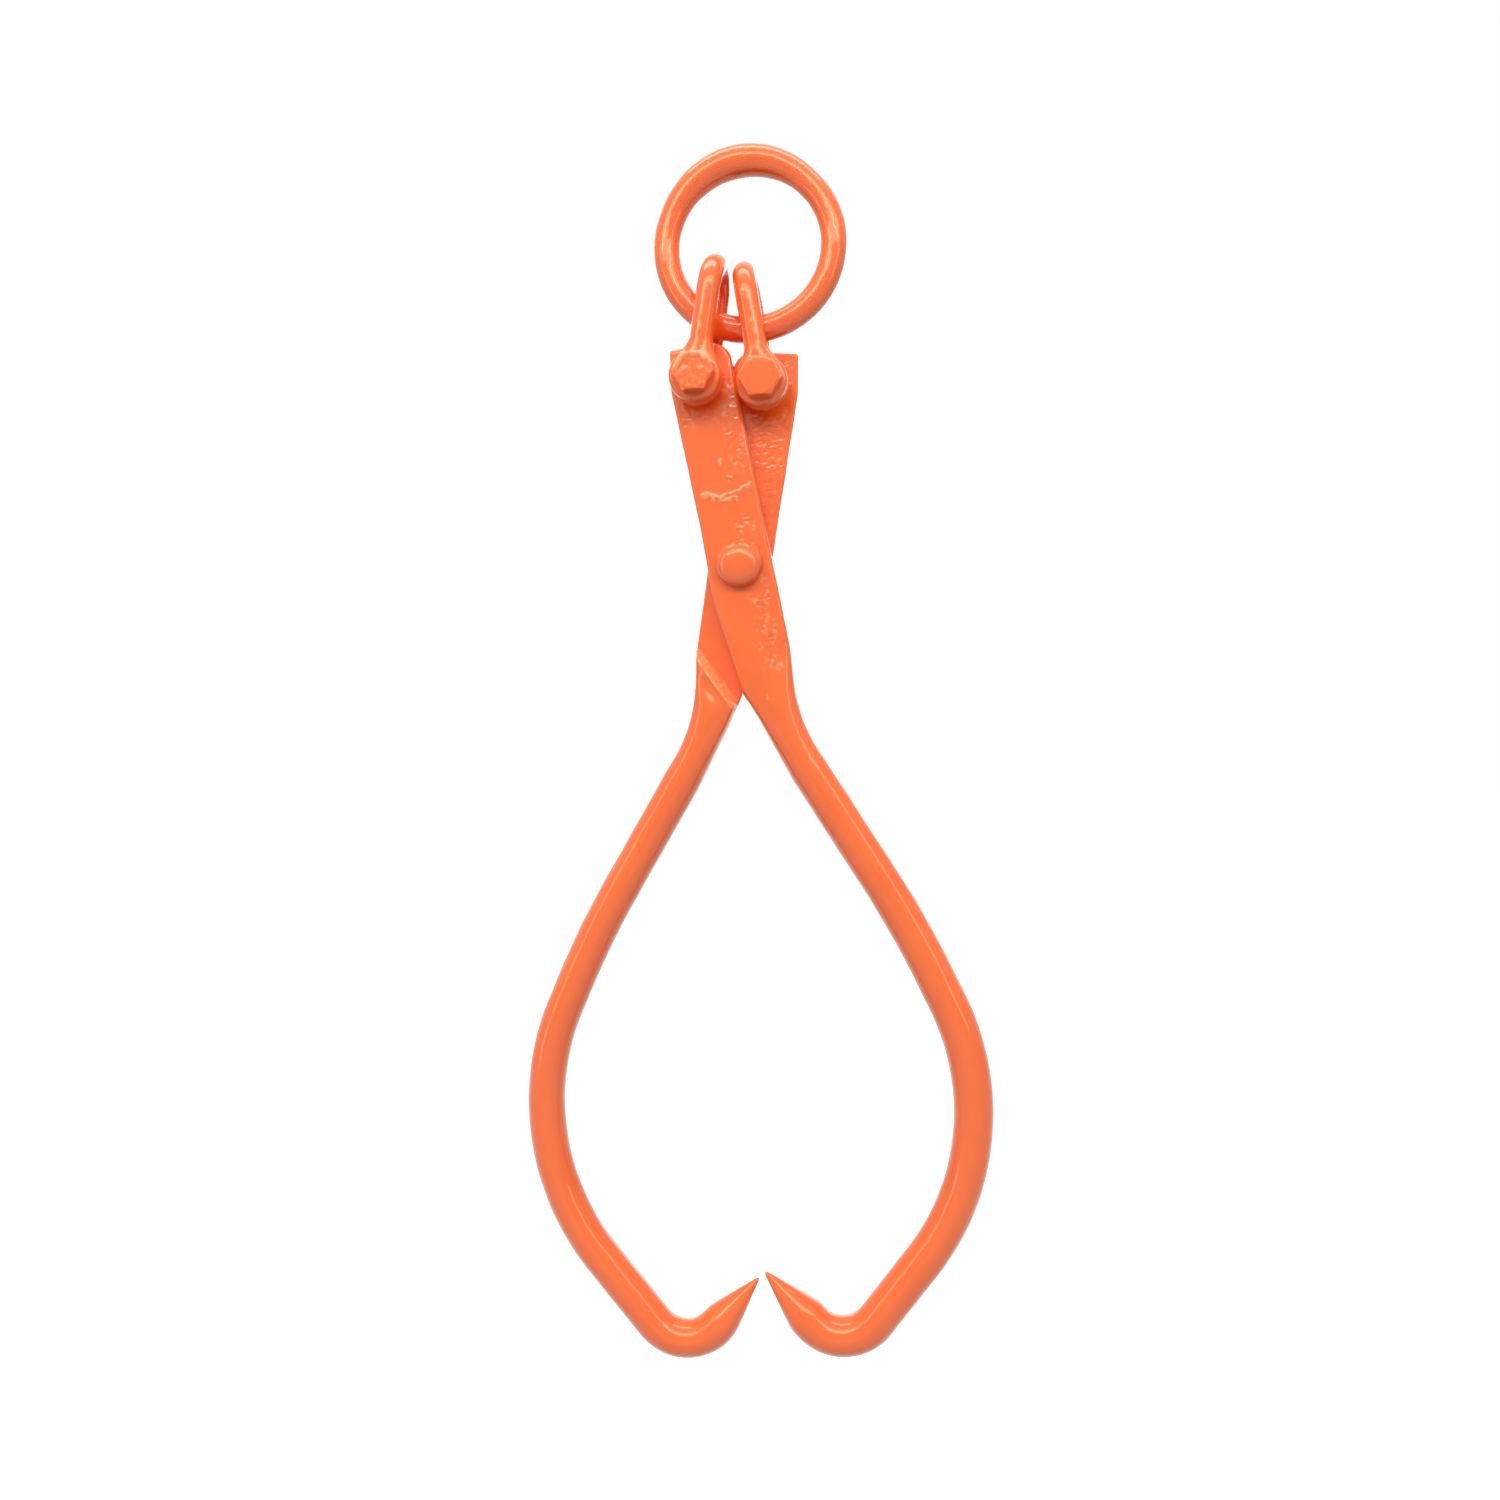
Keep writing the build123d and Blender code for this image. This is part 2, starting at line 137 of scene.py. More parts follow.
class Forging(NamedTuple):
    """What differs between the two hand-forged arms, each on its own plane."""

    seed: int
    offset: float
    narrowing: float
    kink_half: float
    waist_half: float
    heel_waist_half: float
    swell_half: float
    heel: tuple
    heel_low: tuple
    crotch: tuple
    crotch_low: tuple
    bar_extra: float
    bar: tuple


FRONT_FORGING = Forging(
    seed=11, offset=1.0, narrowing=3.2, kink_half=15.2, waist_half=14.3, heel_waist_half=14.8, swell_half=15.0,
    heel=(22.9, -38.0), heel_low=(25.4, -72.8), crotch=(-0.2, -58.4), crotch_low=(7.6, -72.2), bar_extra=0.5,
    bar=((16.2, -70.0), (19.0, -78.0), (72.1, -166.5), (115.3, -263.0), (36.6, -359.5), (1.5, -321.0)),
)
REAR_FORGING = Forging(
    seed=47, offset=-0.1, narrowing=2.3, kink_half=16.2, waist_half=14.7, heel_waist_half=14.4, swell_half=14.4,
    heel=(20.5, -35.0), heel_low=(22.7, -69.4), crotch=(0.8, -57.8), crotch_low=(6.8, -70.6), bar_extra=0.15,
    bar=((16.2, -70.0), (19.0, -78.0), (73.2, -166.5), (115.3, -259.7), (36.0, -358.9), (1.5, -321.0)),
)

# Grid of an arm: points in a quarter of its section, and the spacing of its rows
SIDE_POINTS = 6
EDGE_POINTS = 6
FACE_POINTS = 25
LAP_ROW = 0.55
ROOT_ROWS = 120
BAR_ROW = 1.3


class TongsSizes(PropertyGroup):
    """Sizes of the forged and turned pieces."""

    bar_diameter: FloatProperty(
        name="Bar diameter", description="Round bar of the jaws", default=0.0166, unit="LENGTH")
    lap_thickness: FloatProperty(
        name="Lap thickness", description="Thickness of each flat half", default=0.008, unit="LENGTH")
    lap_edge: FloatProperty(
        name="Lap edge", description="Radius of the painted edges", default=0.0021, unit="LENGTH")
    ring_wire: FloatProperty(
        name="Ring wire", description="Wire of the lift ring", default=0.012, unit="LENGTH")
    ring_crown: FloatProperty(
        name="Ring crown", description="Wire at the swollen crown", default=0.0146, unit="LENGTH")
    shackle_wire: FloatProperty(
        name="Shackle wire", description="Wire of the shackle bows", default=0.0104, unit="LENGTH")
    shackle_reach: FloatProperty(
        name="Shackle reach", description="From the bolt to the inside of the bow", default=0.0494, unit="LENGTH")
    shackle_jaw: FloatProperty(
        name="Shackle jaw", description="Gap between the ears", default=0.0173, unit="LENGTH")
    ear_diameter: FloatProperty(
        name="Ear diameter", description="Drilled ends of the shackles", default=0.0236, unit="LENGTH")
    ear_thickness: FloatProperty(
        name="Ear thickness", description="Thickness of the drilled ends", default=0.0108, unit="LENGTH")
    bolt_diameter: FloatProperty(
        name="Bolt diameter", description="Thread of the shackle bolts", default=0.010, unit="LENGTH")
    head_flats: FloatProperty(
        name="Head flats", description="Across the flats of heads and nuts", default=0.0166, unit="LENGTH")
    thick_head_flats: FloatProperty(
        name="Thick head flats", description="Across the flats of the thickly coated head", default=0.0174, unit="LENGTH")
    head_height: FloatProperty(
        name="Head height", description="Height of the bolt heads", default=0.0066, unit="LENGTH")
    nut_height: FloatProperty(
        name="Nut height", description="Height of the nuts", default=0.008, unit="LENGTH")
    washer_diameter: FloatProperty(
        name="Washer diameter", description="Outside of the lock washers", default=0.017, unit="LENGTH")
    washer_thickness: FloatProperty(
        name="Washer thickness", description="Thickness of the lock washers", default=0.0022, unit="LENGTH")
    rivet_diameter: FloatProperty(
        name="Rivet diameter", description="Shank of the pivot rivet", default=0.012, unit="LENGTH")
    rivet_head: FloatProperty(
        name="Rivet head", description="Diameter of the domed heads", default=0.0210, unit="LENGTH")
    rivet_dome: FloatProperty(
        name="Rivet dome", description="Height of the domed heads", default=0.0076, unit="LENGTH")


class TongsPaint(PropertyGroup):
    """Colours and surface of the dipped paint."""

    orange: FloatVectorProperty(
        name="Orange", description="Full coat", default=(0.96, 0.156, 0.019), subtype="COLOR", size=3)
    deep: FloatVectorProperty(
        name="Deep orange", description="Where paint has pooled", default=(0.92, 0.138, 0.015), subtype="COLOR", size=3)
    thin: FloatVectorProperty(
        name="Thin orange", description="Where paint has drawn back", default=(0.98, 0.176, 0.026), subtype="COLOR", size=3)
    # Painted shade: a darker orange laid into the deepest pits and the bark's hollows
    pit_shade_colour: FloatVectorProperty(
        name="Painted pit shade", description="Painted shade in the deepest pits", default=(0.42, 0.062, 0.010), subtype="COLOR", size=3)
    # Painted highlight: pale colour on the shoulder's cut, pit rims, bark, flash lines and one bolt head's rim
    highlight_colour: FloatVectorProperty(
        name="Painted highlight", description="Painted highlight on rough cuts, sharp rims and pits", default=(1.0, 0.62, 0.34), subtype="COLOR", size=3)
    pit_depth: FloatProperty(
        name="Pit depth", description="Depth of the forge pits", default=0.00030, unit="LENGTH")
    unevenness: FloatProperty(
        name="Unevenness", description="Height of the hammered waves", default=0.00003, unit="LENGTH")
    gloss: FloatProperty(
        name="Gloss", description="Share of clear gloss on the coat", default=0.95, min=0.0, max=1.0)


class TongsStudio(PropertyGroup):
    """Lights, floor and camera."""

    front_power: FloatProperty(
        name="Front power", description="Broad soft lamp in front", default=28.0, unit="POWER")
    strip_power: FloatProperty(
        name="Strip power", description="Long thin lamp in front", default=8.0, unit="POWER")
    strip_colour: FloatVectorProperty(
        name="Strip colour", description="Warm white of the lamps in front", default=(1.0, 0.87, 0.62), subtype="COLOR", size=3)
    side_power: FloatProperty(
        name="Side power", description="Upright lamp at each side", default=6.0, unit="POWER")
    overhead_power: FloatProperty(
        name="Overhead power", description="Soft lamp above", default=19.0, unit="POWER")
    rear_power: FloatProperty(
        name="Rear power", description="Soft lamp behind", default=13.0, unit="POWER")
    sky: FloatProperty(
        name="Sky", description="Plain light from all round", default=0.3)
    floor_drop: FloatProperty(
        name="Floor drop", description="Room between the hooks and the floor", default=0.075, unit="LENGTH")
    focal_pixels: FloatProperty(
        name="Focal length", description="In pixels of a frame 1500 wide", default=1300.0)
    scale: FloatProperty(
        name="Scale", description="Metres a pixel, at the rivet", default=0.000457, unit="LENGTH")
    yaw: FloatProperty(
        name="Yaw", description="Turn of the tongs to the camera", default=math.radians(-6.51), subtype="ANGLE")
    pitch: FloatProperty(
        name="Pitch", description="Nod of the tongs to the camera", default=math.radians(-0.91), subtype="ANGLE")
    roll: FloatProperty(
        name="Roll", description="Lean of the tongs in the picture", default=math.radians(-1.90), subtype="ANGLE")


def length_along(line):
    """Distance of each point of a line from its start, measured along the line."""
    steps = np.linalg.norm(np.diff(line, axis=0), axis=1)
    return np.concatenate([[0.0], np.cumsum(steps)])


def rounded_path(corners, radii, step):
    """Evenly spaced points on straight runs joined by tangent arcs.

    Where the path turns by an angle t, its arc of radius r starts r times the tangent of
    half of t before the corner, and its centre lies r to the inside of the run.
    """
    corners = np.asarray(corners, float)
    pieces = [corners[:1]]
    for before, corner, after, radius in zip(corners, corners[1:], corners[2:], radii):
        come = (corner - before) / np.linalg.norm(corner - before)
        go = (after - corner) / np.linalg.norm(after - corner)
        turn = math.atan2(come[0] * go[1] - come[1] * go[0], come @ go)
        start = corner - come * radius * math.tan(abs(turn) / 2)
        centre = start + np.array((-come[1], come[0])) * math.copysign(radius, turn)
        swing = np.linspace(0.0, turn, max(3, int(radius * abs(turn) / step) + 2))
        spoke = start - centre
        cos, sin = np.cos(swing), np.sin(swing)
        arc = np.stack([spoke[0] * cos - spoke[1] * sin, spoke[0] * sin + spoke[1] * cos], axis=1)
        pieces.append(centre + arc)
    pieces.append(corners[-1:])
    line = np.concatenate(pieces)
    length = length_along(line)
    even = np.linspace(0.0, length[-1], int(length[-1] / step) + 1)
    return np.stack([np.interp(even, length, line[:, axis]) for axis in (0, 1)], axis=1)


def smooth_step(value, low, high):
    """Rises from 0 at low to 1 at high, level at both ends: 3 t squared minus 2 t cubed."""
    t = np.clip((value - low) / (high - low), 0.0, 1.0)
    return t * t * (3.0 - 2.0 * t)


def window(value, low, high, fade):
    """One between low and high, falling smoothly to zero over the fade outside them."""
    return smooth_step(value, low - fade, low) * (1.0 - smooth_step(value, high, high + fade))


def waves(points, length, seed, count=20):
    """Smooth unevenness about as high as one either way.

    It is the sum of sine waves that run in random directions, each about `length` long,
    divided by the root of half their count.
    """
    draw = np.random.default_rng(seed)
    direction = draw.normal(size=(count, 3))
    direction /= np.linalg.norm(direction, axis=1, keepdims=True)
    stretch = length * draw.uniform(0.7, 1.5, size=(count, 1))
    phase = draw.uniform(0.0, 2 * math.pi, size=count)
    angle = points @ (direction * 2 * math.pi / stretch).T + phase
    return np.sin(angle).sum(axis=-1) / math.sqrt(count / 2)


def scatter(cell, seed, channel):
    """A number between 0 and 1 for each whole-numbered cell, always the same for the same cell."""
    mixed = cell[..., 0] * 73856093 ^ cell[..., 1] * 19349663 ^ cell[..., 2] * 83492791
    mixed = (mixed ^ (seed * 2654435761 + channel * 97531)) & 0xFFFFFFFF
    mixed = (mixed ^ (mixed >> 15)) * 2246822519 & 0xFFFFFFFF
    mixed = (mixed ^ (mixed >> 13)) * 3266489917 & 0xFFFFFFFF
    return ((mixed ^ (mixed >> 16)) & 0xFFFFFF) / float(0x1000000)


def pits(points, spacing, seed):
    """Depth, 0 to 1, of round pits strewn one to a cell of a cubic lattice.

    A pit with centre c and radius r is 1 minus the square of the distance to c over r deep,
    and where pits meet the deeper one counts.
    """
    cell = np.floor(points / spacing).astype(np.int64)
    depth = np.zeros(points.shape[:-1])
    for offset in np.ndindex(3, 3, 3):
        near = cell + (np.array(offset) - 1)
        shift = np.stack([scatter(near, seed, channel) for channel in range(3)], axis=-1)
        radius = spacing * (0.25 + 0.45 * scatter(near, seed, 3))
        gap = np.linalg.norm(points - (near + shift) * spacing, axis=-1) / radius
        depth = np.maximum(depth, np.clip(1.0 - gap * gap, 0.0, 1.0))
    return depth


def distance_to_line(flat, corners):
    """Distance of flat points from a line through a few corners."""
    corners = np.asarray(corners, float)
    best = np.full(flat.shape[:-1], np.inf)
    for start, end in zip(corners, corners[1:]):
        run = end - start
        share = np.clip(((flat - start) @ run) / (run @ run), 0.0, 1.0)
        best = np.minimum(best, np.linalg.norm(flat - start - share[..., None] * run, axis=-1))
    return best


def grid_normals(points, closed_rows=False):
    """Outward unit normals of a grid whose columns go round: the cross of its two slopes."""
    if closed_rows:
        along = np.roll(points, -1, axis=0) - np.roll(points, 1, axis=0)
    else:
        along = np.gradient(points, axis=0)
    across = np.roll(points, -1, axis=1) - np.roll(points, 1, axis=1)
    normal = np.cross(along, across)
    size = np.linalg.norm(normal, axis=-1, keepdims=True)
    normal = normal / np.maximum(size, 1e-9)
    outward = points - points.mean(axis=1, keepdims=True)
    if (normal * outward).sum() < 0.0:
        normal = -normal
    return normal


def make_piece(name, points, closed_rows=False, holes=(), marks=None):
    """Closed mesh over a grid: rows follow the path, and columns go round the section.

    Each four neighbours make a face. Points that meet at a pole or seam are merged, a flat end
    is filled, faces are turned outwards, and each hole, a (centre, radius) along Y, is drilled.
    Marks are named numbers for each point, kept as attributes that the paint looks up.
    """
    rows, columns = points.shape[:2]
    index = np.arange(rows * columns).reshape(rows, columns)
    if closed_rows:
        index = np.vstack([index, index[:1]])
    turned = np.roll(index, -1, axis=1)
    quads = np.stack([index[:-1], turned[:-1], turned[1:], index[1:]], axis=-1).reshape(-1, 4)
    mesh = bpy.data.meshes.new(name)
    mesh.vertices.add(rows * columns)
    mesh.vertices.foreach_set("co", (points * MM).astype(np.float32).ravel())
    mesh.loops.add(quads.size)
    mesh.loops.foreach_set("vertex_index", quads.astype(np.int32).ravel())
    mesh.polygons.add(len(quads))
    mesh.polygons.foreach_set("loop_start", np.arange(0, quads.size, 4, dtype=np.int32))
    mesh.update(calc_edges=True)
    for mark, value in (marks or {}).items():
        mesh.attributes.new(mark, "FLOAT", "POINT").data.foreach_set("value", value.astype(np.float32).ravel())
    tidy = bmesh.new()
    tidy.from_mesh(mesh)
    bmesh.ops.remove_doubles(tidy, verts=tidy.verts, dist=0.002 * MM)
    bmesh.ops.holes_fill(tidy, edges=[e for e in tidy.edges if e.is_boundary], sides=0)
    bmesh.ops.recalc_face_normals(tidy, faces=tidy.faces)
    tidy.to_mesh(mesh)
    tidy.free()
    piece = bpy.data.objects.new(name, mesh)
    bpy.context.scene.collection.objects.link(piece)
    for centre, radius in holes:
        drill(piece, centre, radius)
    piece.data.shade_smooth()
    piece.data.set_sharp_from_angle(angle=math.radians(42))
    return piece


def drill(piece, centre, radius):
    """Takes a round hole along Y out of a piece."""
    turn = np.linspace(0.0, 2 * math.pi, 96, endpoint=False)
    reach = np.array([-60.0, 60.0])
    x = centre[0] + radius * np.cos(turn)
    z = centre[2] + radius * np.sin(turn)
    rows = [np.stack([x, np.full_like(x, y), z], axis=1) for y in reach]
    cutter = make_piece("hole_cutter", np.stack(rows))
    cut = piece.modifiers.new("hole", "BOOLEAN")
    cut.operation = "DIFFERENCE"
    cut.solver = "EXACT"
    cut.object = cutter
    bpy.context.view_layer.update()
    result = bpy.data.meshes.new_from_object(piece.evaluated_get(bpy.context.evaluated_depsgraph_get()))
    result.name = piece.name
    piece.modifiers.remove(cut)
    piece.data = result
    bpy.data.objects.remove(cutter)


def put_in_place(piece, body, node, material):
    """Paints a piece, hangs it on its body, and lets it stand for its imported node."""
    piece.data.materials.clear()
    piece.data.materials.append(material)
    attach(piece, body)
    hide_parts(node)


def plate_quarter(half_width, rise, edge, end_depth=None):
    """Quarter of a plate's section: up the side, over its rounded edge, and in to the middle.

    At a depth d in from the rim, an edge of radius e has risen by the root of e squared minus
    (e - d) squared. end_depth gives the depth below a rounded end, for each point across.
    """
    width, height = half_width[:, None], np.maximum(rise, 0.0)[:, None]
    radius = np.minimum(edge[:, None], np.minimum(width, height))
    climb = np.linspace(0.0, 1.0, SIDE_POINTS, endpoint=False)[None]
    bend = np.linspace(0.0, math.pi / 2, EDGE_POINTS, endpoint=False)[None]
    inward = np.linspace(1.0, 0.0, FACE_POINTS)[None]
    across = np.concatenate(
        [width * np.ones_like(climb), width - radius * (1 - np.cos(bend)), (width - radius) * inward], axis=1)
    depth = width - across
    if end_depth is not None:
        depth = np.minimum(depth, end_depth(across))
    fall = radius - np.clip(depth, 0.0, radius)
    up = height - radius + np.sqrt(np.maximum(radius ** 2 - fall ** 2, 0.0))
    up[:, :SIDE_POINTS] = up[:, SIDE_POINTS:SIDE_POINTS + 1] * climb
    return across, up


def bar_quarter(half_width, rise):
    """Quarter of an ellipse, with as many points as a plate's quarter."""
    side = np.linspace(0.0, 0.24, SIDE_POINTS, endpoint=False)
    edge = np.linspace(0.24, 0.42, EDGE_POINTS, endpoint=False)
    face = np.linspace(0.42, 1.0, FACE_POINTS)
    angle = np.concatenate([side, edge, face])[None] * math.pi / 2
    return half_width[:, None] * np.cos(angle), rise[:, None] * np.sin(angle)


def forged_quarter(half_width, rise, edge, roundness, end_depth=None):
    """Quarter of a section that is a plate at roundness 0 and a bar at roundness 1."""
    plate_across, plate_up = plate_quarter(half_width, rise, edge, end_depth)
    bar_across, bar_up = bar_quarter(half_width, rise)
    share = roundness[:, None]
    return plate_across + share * (bar_across - plate_across), plate_up + share * (bar_up - plate_up)


def go_round(upper_right, upper_left, lower_left, lower_right):
    """Joins four quarters of a section, each from its side to its middle, into one loop."""
    return np.concatenate(
        [upper_right, upper_left[:, -2::-1], lower_left[:, 1:], lower_right[:, -2:0:-1]], axis=1)


def lap_to_plane(v, s):
    """Point of an arm's plane at v across and s up the lap half's tilted axis."""
    cos, sin = math.cos(LAP_TILT), math.sin(LAP_TILT)
    return np.stack([v * cos - s * sin, v * sin + s * cos], axis=-1)


def plane_to_lap(flat):
    """The way back: how far across, and how far up, the lap half a point of the plane lies."""
    cos, sin = math.cos(LAP_TILT), math.sin(LAP_TILT)
    return flat[..., 0] * cos + flat[..., 1] * sin, flat[..., 1] * cos - flat[..., 0] * sin


def depth_below_top(flat):
    """Depth of a point of the plane below the lap half's slightly sloping top."""
    v, s = plane_to_lap(flat)
    return LAP_TOP - LAP_TOP_SLOPE * (v + LAP_TOP_HALF) / (2 * LAP_TOP_HALF) - s


def shoulder_distance(flat):
    """Distance of a point of the plane above the slanted shoulder's line."""
    inner, outer = np.array(SHOULDER_INNER), np.array(SHOULDER_OUTER)
    up_slope = (outer - inner) / np.linalg.norm(outer - inner)
    return (flat - inner) @ np.array((-up_slope[1], up_slope[0]))


def bar_rows(form, radius):
    """Both edges of the round bar, row by row, from the root to the tip of the point."""
    line = rounded_path(form.bar, BAR_RADII, 0.25)
    length = length_along(line)
    neck = np.argmin(np.linalg.norm(line - np.array(form.bar[1]), axis=1))
    start = length[neck] + ROOT_BEYOND_NECK
    base = length[-1] - POINT_LENGTH
    shaft = np.linspace(start, base, int((base - start) / BAR_ROW))
    point = base + POINT_LENGTH * np.linspace(0.0, 1.0, 42)[1:] ** 0.8
    stations = np.concatenate([shaft, point])
    middle = np.stack([np.interp(stations, length, line[:, axis]) for axis in (0, 1)], axis=1)
    ahead = np.gradient(middle, axis=0)
    ahead /= np.linalg.norm(ahead, axis=1, keepdims=True)
    normal = np.stack([-ahead[:, 1], ahead[:, 0]], axis=1)
    to_tip = length[-1] - stations
    cone = POINT_TIP + (radius - POINT_TIP) * to_tip / POINT_LENGTH
    # The cone is rounded where it leaves the bar, and ends in a small ball
    thick = radius - np.logaddexp(0.0, (radius - cone) / 0.35) * 0.35
    thick = np.where(to_tip > POINT_LENGTH * 1.5, radius, thick)
    thick = thick * np.sqrt(np.clip(to_tip / (POINT_TIP * 1.6), 0.0, 1.0))
    return middle, normal, thick


def arm_edges(form, middle, normal, radius):
    """The heel's edge and the crotch's edge of the lap half and root, as rounded paths."""
    top = lap_to_plane(0.0, LAP_TOP - LAP_TOP_SLOPE / 2)
    heel = (
        top,
        lap_to_plane(form.offset + LAP_TOP_HALF, LAP_TOP - LAP_TOP_SLOPE),
        lap_to_plane(form.offset + form.heel_waist_half, LAP_WAIST_AT),
        lap_to_plane(form.offset + form.swell_half, LAP_SWELL_AT),
        form.heel,
        form.heel_low,
        middle[0] + normal[0] * radius,
    )
    crotch = (
        top,
        lap_to_plane(form.offset - form.kink_half + form.narrowing, LAP_TOP),
        lap_to_plane(form.offset - form.kink_half, LAP_KINK_AT),
        lap_to_plane(form.offset - form.waist_half, LAP_WAIST_AT),
        lap_to_plane(form.offset - form.swell_half, LAP_SWELL_AT),
        form.crotch,
        form.crotch_low,
        middle[0] - normal[0] * radius,
    )
    heel_radii = (INNER_CORNER, SIDE_ROUND, SIDE_ROUND, SIDE_ROUND, HEEL_ROUND)
    crotch_radii = (OUTER_CORNER, KINK_ROUND, SIDE_ROUND, SIDE_ROUND, KINK_ROUND, SIDE_ROUND)
    return rounded_path(heel, heel_radii, 0.05), rounded_path(crotch, crotch_radii, 0.05)


def arm_rows(form, radius):
    """Both edges of an arm and the size of its section, row by row, from its top to its tip.

    Down the lap half a row joins the points at one depth below the top. Down the root it joins
    points at matching shares of the way to the shoulder, and from the shoulder to the bar.
    """
    middle, normal, thick = bar_rows(form, radius)
    corner_swing = np.linspace(0.0, math.pi / 2, 24, endpoint=False)
    corner_rows = INNER_CORNER * (1 - np.cos(corner_swing))
    lap_end = LAP_TOP - LAP_SWELL_AT
    rest = np.linspace(INNER_CORNER, lap_end, int((lap_end - INNER_CORNER) / LAP_ROW))
    depth_rows = np.concatenate([corner_rows, rest])
    shares = np.linspace(0.0, 1.0, ROOT_ROWS + 1)[1:]
    edges = []
    for edge in arm_edges(form, middle, normal, radius):
        depth = depth_below_top(edge)
        below = np.flatnonzero(depth > 0.003)[0]
        edge, depth = edge[below:], depth[below:]
        length = length_along(edge)
        lap_part = np.interp(depth_rows, depth, length)
        past_lap = length > lap_part[-1]
        nearest = np.where(past_lap, np.abs(shoulder_distance(edge)), np.inf)
        knots = [lap_part[-1], length[np.argmin(nearest)], length[-1]]
        whole = np.concatenate([lap_part, np.interp(shares, (0.0, 0.55, 1.0), knots)])
        blur = np.hanning(25)
        eased = np.convolve(np.pad(whole, 12, mode="reflect", reflect_type="odd"), blur / blur.sum(), "valid")
        whole[40:] = eased[40:]
        edges.append(np.stack([np.interp(whole, length, edge[:, axis]) for axis in (0, 1)], axis=1))
    heel_edge = np.concatenate([edges[0], (middle + normal * thick[:, None])[1:]])
    crotch_edge = np.concatenate([edges[1], (middle - normal * thick[:, None])[1:]])
    down_root = (np.arange(len(heel_edge)) - len(depth_rows)) / ROOT_ROWS
    height = np.full(len(heel_edge), radius)
    height[-len(thick) + 1:] = thick[1:]
    end_depth = np.full(len(heel_edge), np.inf)
    end_depth[:len(depth_rows)] = depth_rows
    return heel_edge, crotch_edge, smooth_step(down_root, 0.12, 1.0), height, end_depth


def arm_shape(sizes, form):
    """Grid of an arm on its own plane: across and up the plane, and out from the lap face.

    The section morphs from the lap half's plate into the bar's circle. Its lower half reaches
    from the lap face down to the bar's back as the point passes the slanted shoulder.
    """
    radius = sizes.bar_diameter / MM / 2 + form.bar_extra
    outer_face = LAP_INNER_FACE + sizes.lap_thickness / MM
    heel_edge, crotch_edge, roundness, height, end_depth = arm_rows(form, radius)
    middle = (heel_edge + crotch_edge) / 2
    half = (heel_edge - crotch_edge) / 2
    half_width = np.linalg.norm(half, axis=1)
    unit = half / np.maximum(half_width, 1e-9)[:, None]
    edge = np.full(len(half_width), sizes.lap_edge / MM)
    low_edge = edge * 0.4
    plate_middle = (LAP_INNER_FACE + outer_face) / 2
    lap_middle = plate_middle + roundness * (LAP_INNER_FACE + 1.2 - plate_middle)
    crown = outer_face + roundness * (height - outer_face)

    def below_top(across):
        return np.broadcast_to(end_depth[:, None], across.shape)

    def on_plane(side, across):
        return middle[:, None] + side * across[..., None] * unit[:, None]

    quarters = []
    for side, rim in ((1.0, heel_edge), (-1.0, crotch_edge)):
        rim_past = smooth_step(-shoulder_distance(rim), 0.0, SHOULDER_RUN)
        level = lap_middle + rim_past * (LAP_INNER_FACE - lap_middle)
        across, up = forged_quarter(half_width, crown - level, edge, roundness, below_top)
        upper = np.concatenate([on_plane(side, across), (level[:, None] + up)[..., None]], axis=2)
        thin_across, thin = plate_quarter(half_width, level - LAP_INNER_FACE, low_edge, below_top)
        full_across, full = forged_quarter(half_width, level + height, edge, roundness, below_top)
        past = smooth_step(-shoulder_distance(on_plane(side, thin_across)), 0.0, SHOULDER_RUN)
        across = thin_across + past * (full_across - thin_across)
        down = thin + past * (full - thin)
        lower = np.concatenate([on_plane(side, across), (level[:, None] - down)[..., None]], axis=2)
        quarters += [upper, lower]
    upper_right, lower_right, upper_left, lower_left = quarters
    return go_round(upper_right, upper_left, lower_left, lower_right)


# Raised marks on the front plate: across and up the lap half
FLASH_LINES = (
    ((-9.6, 32.2), (-5.6, 30.8), (-1.6, 30.2), (3.0, 31.0), (6.6, 31.6), (12.6, 32.6)),
    ((-8.6, 30.6), (-2.6, 28.4), (3.0, 27.6), (5.4, 26.6)),
    ((-10.6, 77.2), (-9.6, 74.6)),
    ((-9.4, 72.6), (-8.0, 70.4)),
    ((2.4, -62.4), (3.6, -64.2)),
    ((0.9, 45.4), (1.1, 43.8)),
    ((3.4, 37.4), (3.6, 36.2)),
)


def forge_marks(shape, front, seed):
    """How pitted and how bark-like each point of an arm is, and how far its flash stands proud.

    Roughness lies in windows across and up the lap half, broken up by slow waves. A flash line
    is a ridge that falls off with the square of the distance from it.
    """
    v, s = plane_to_lap(shape[..., :2])
    out = shape[..., 2]
    outer = smooth_step(out, 5.6, 7.4)
    inner = 1.0 - smooth_step(out, 0.4, 1.2)
    above_shoulder = smooth_step(shoulder_distance(shape[..., :2]), 1.0, 4.0)
    patchy = smooth_step(waves(shape, 7.0, seed, 12), -1.1, 0.5)
    edge_band = window(v, 8.0, 13.0, 3.0) * window(s, 42.0, 84.0, 4.0)
    under_ear = window(v, -11.0, 4.0, 2.0) * window(s, 66.0, 73.0, 4.0) * 0.6
    low_band = window(v, 3.0, 11.0, 1.5) * window(s, -50.0, 18.0, 5.0)
    pitted = outer * np.maximum.reduce([edge_band, under_ear, low_band]) * patchy
    corner = window(v, -12.0, -8.0, 2.0) * window(s, 84.0, 97.0, 4.0) * 0.7
    belt = window(v, -12.5, 5.0, 2.0) * window(s, 46.0, 76.0, 5.0)
    tail = window(v, -11.5, -6.0, 2.5) * window(s, 14.0, 48.0, 5.0) * 0.7
    bark = inner * above_shoulder * np.maximum.reduce([corner, belt, tail])
    ridge = np.zeros(out.shape)
    if front:
        flat = np.stack([v, s], axis=-1) + 0.5 * waves(shape, 5.0, seed + 3, 8)[..., None]
        for line in FLASH_LINES:
            ridge = np.maximum(ridge, 0.36 * np.exp(-(distance_to_line(flat, line) / 0.7) ** 2))
    return pitted, bark, ridge * outer


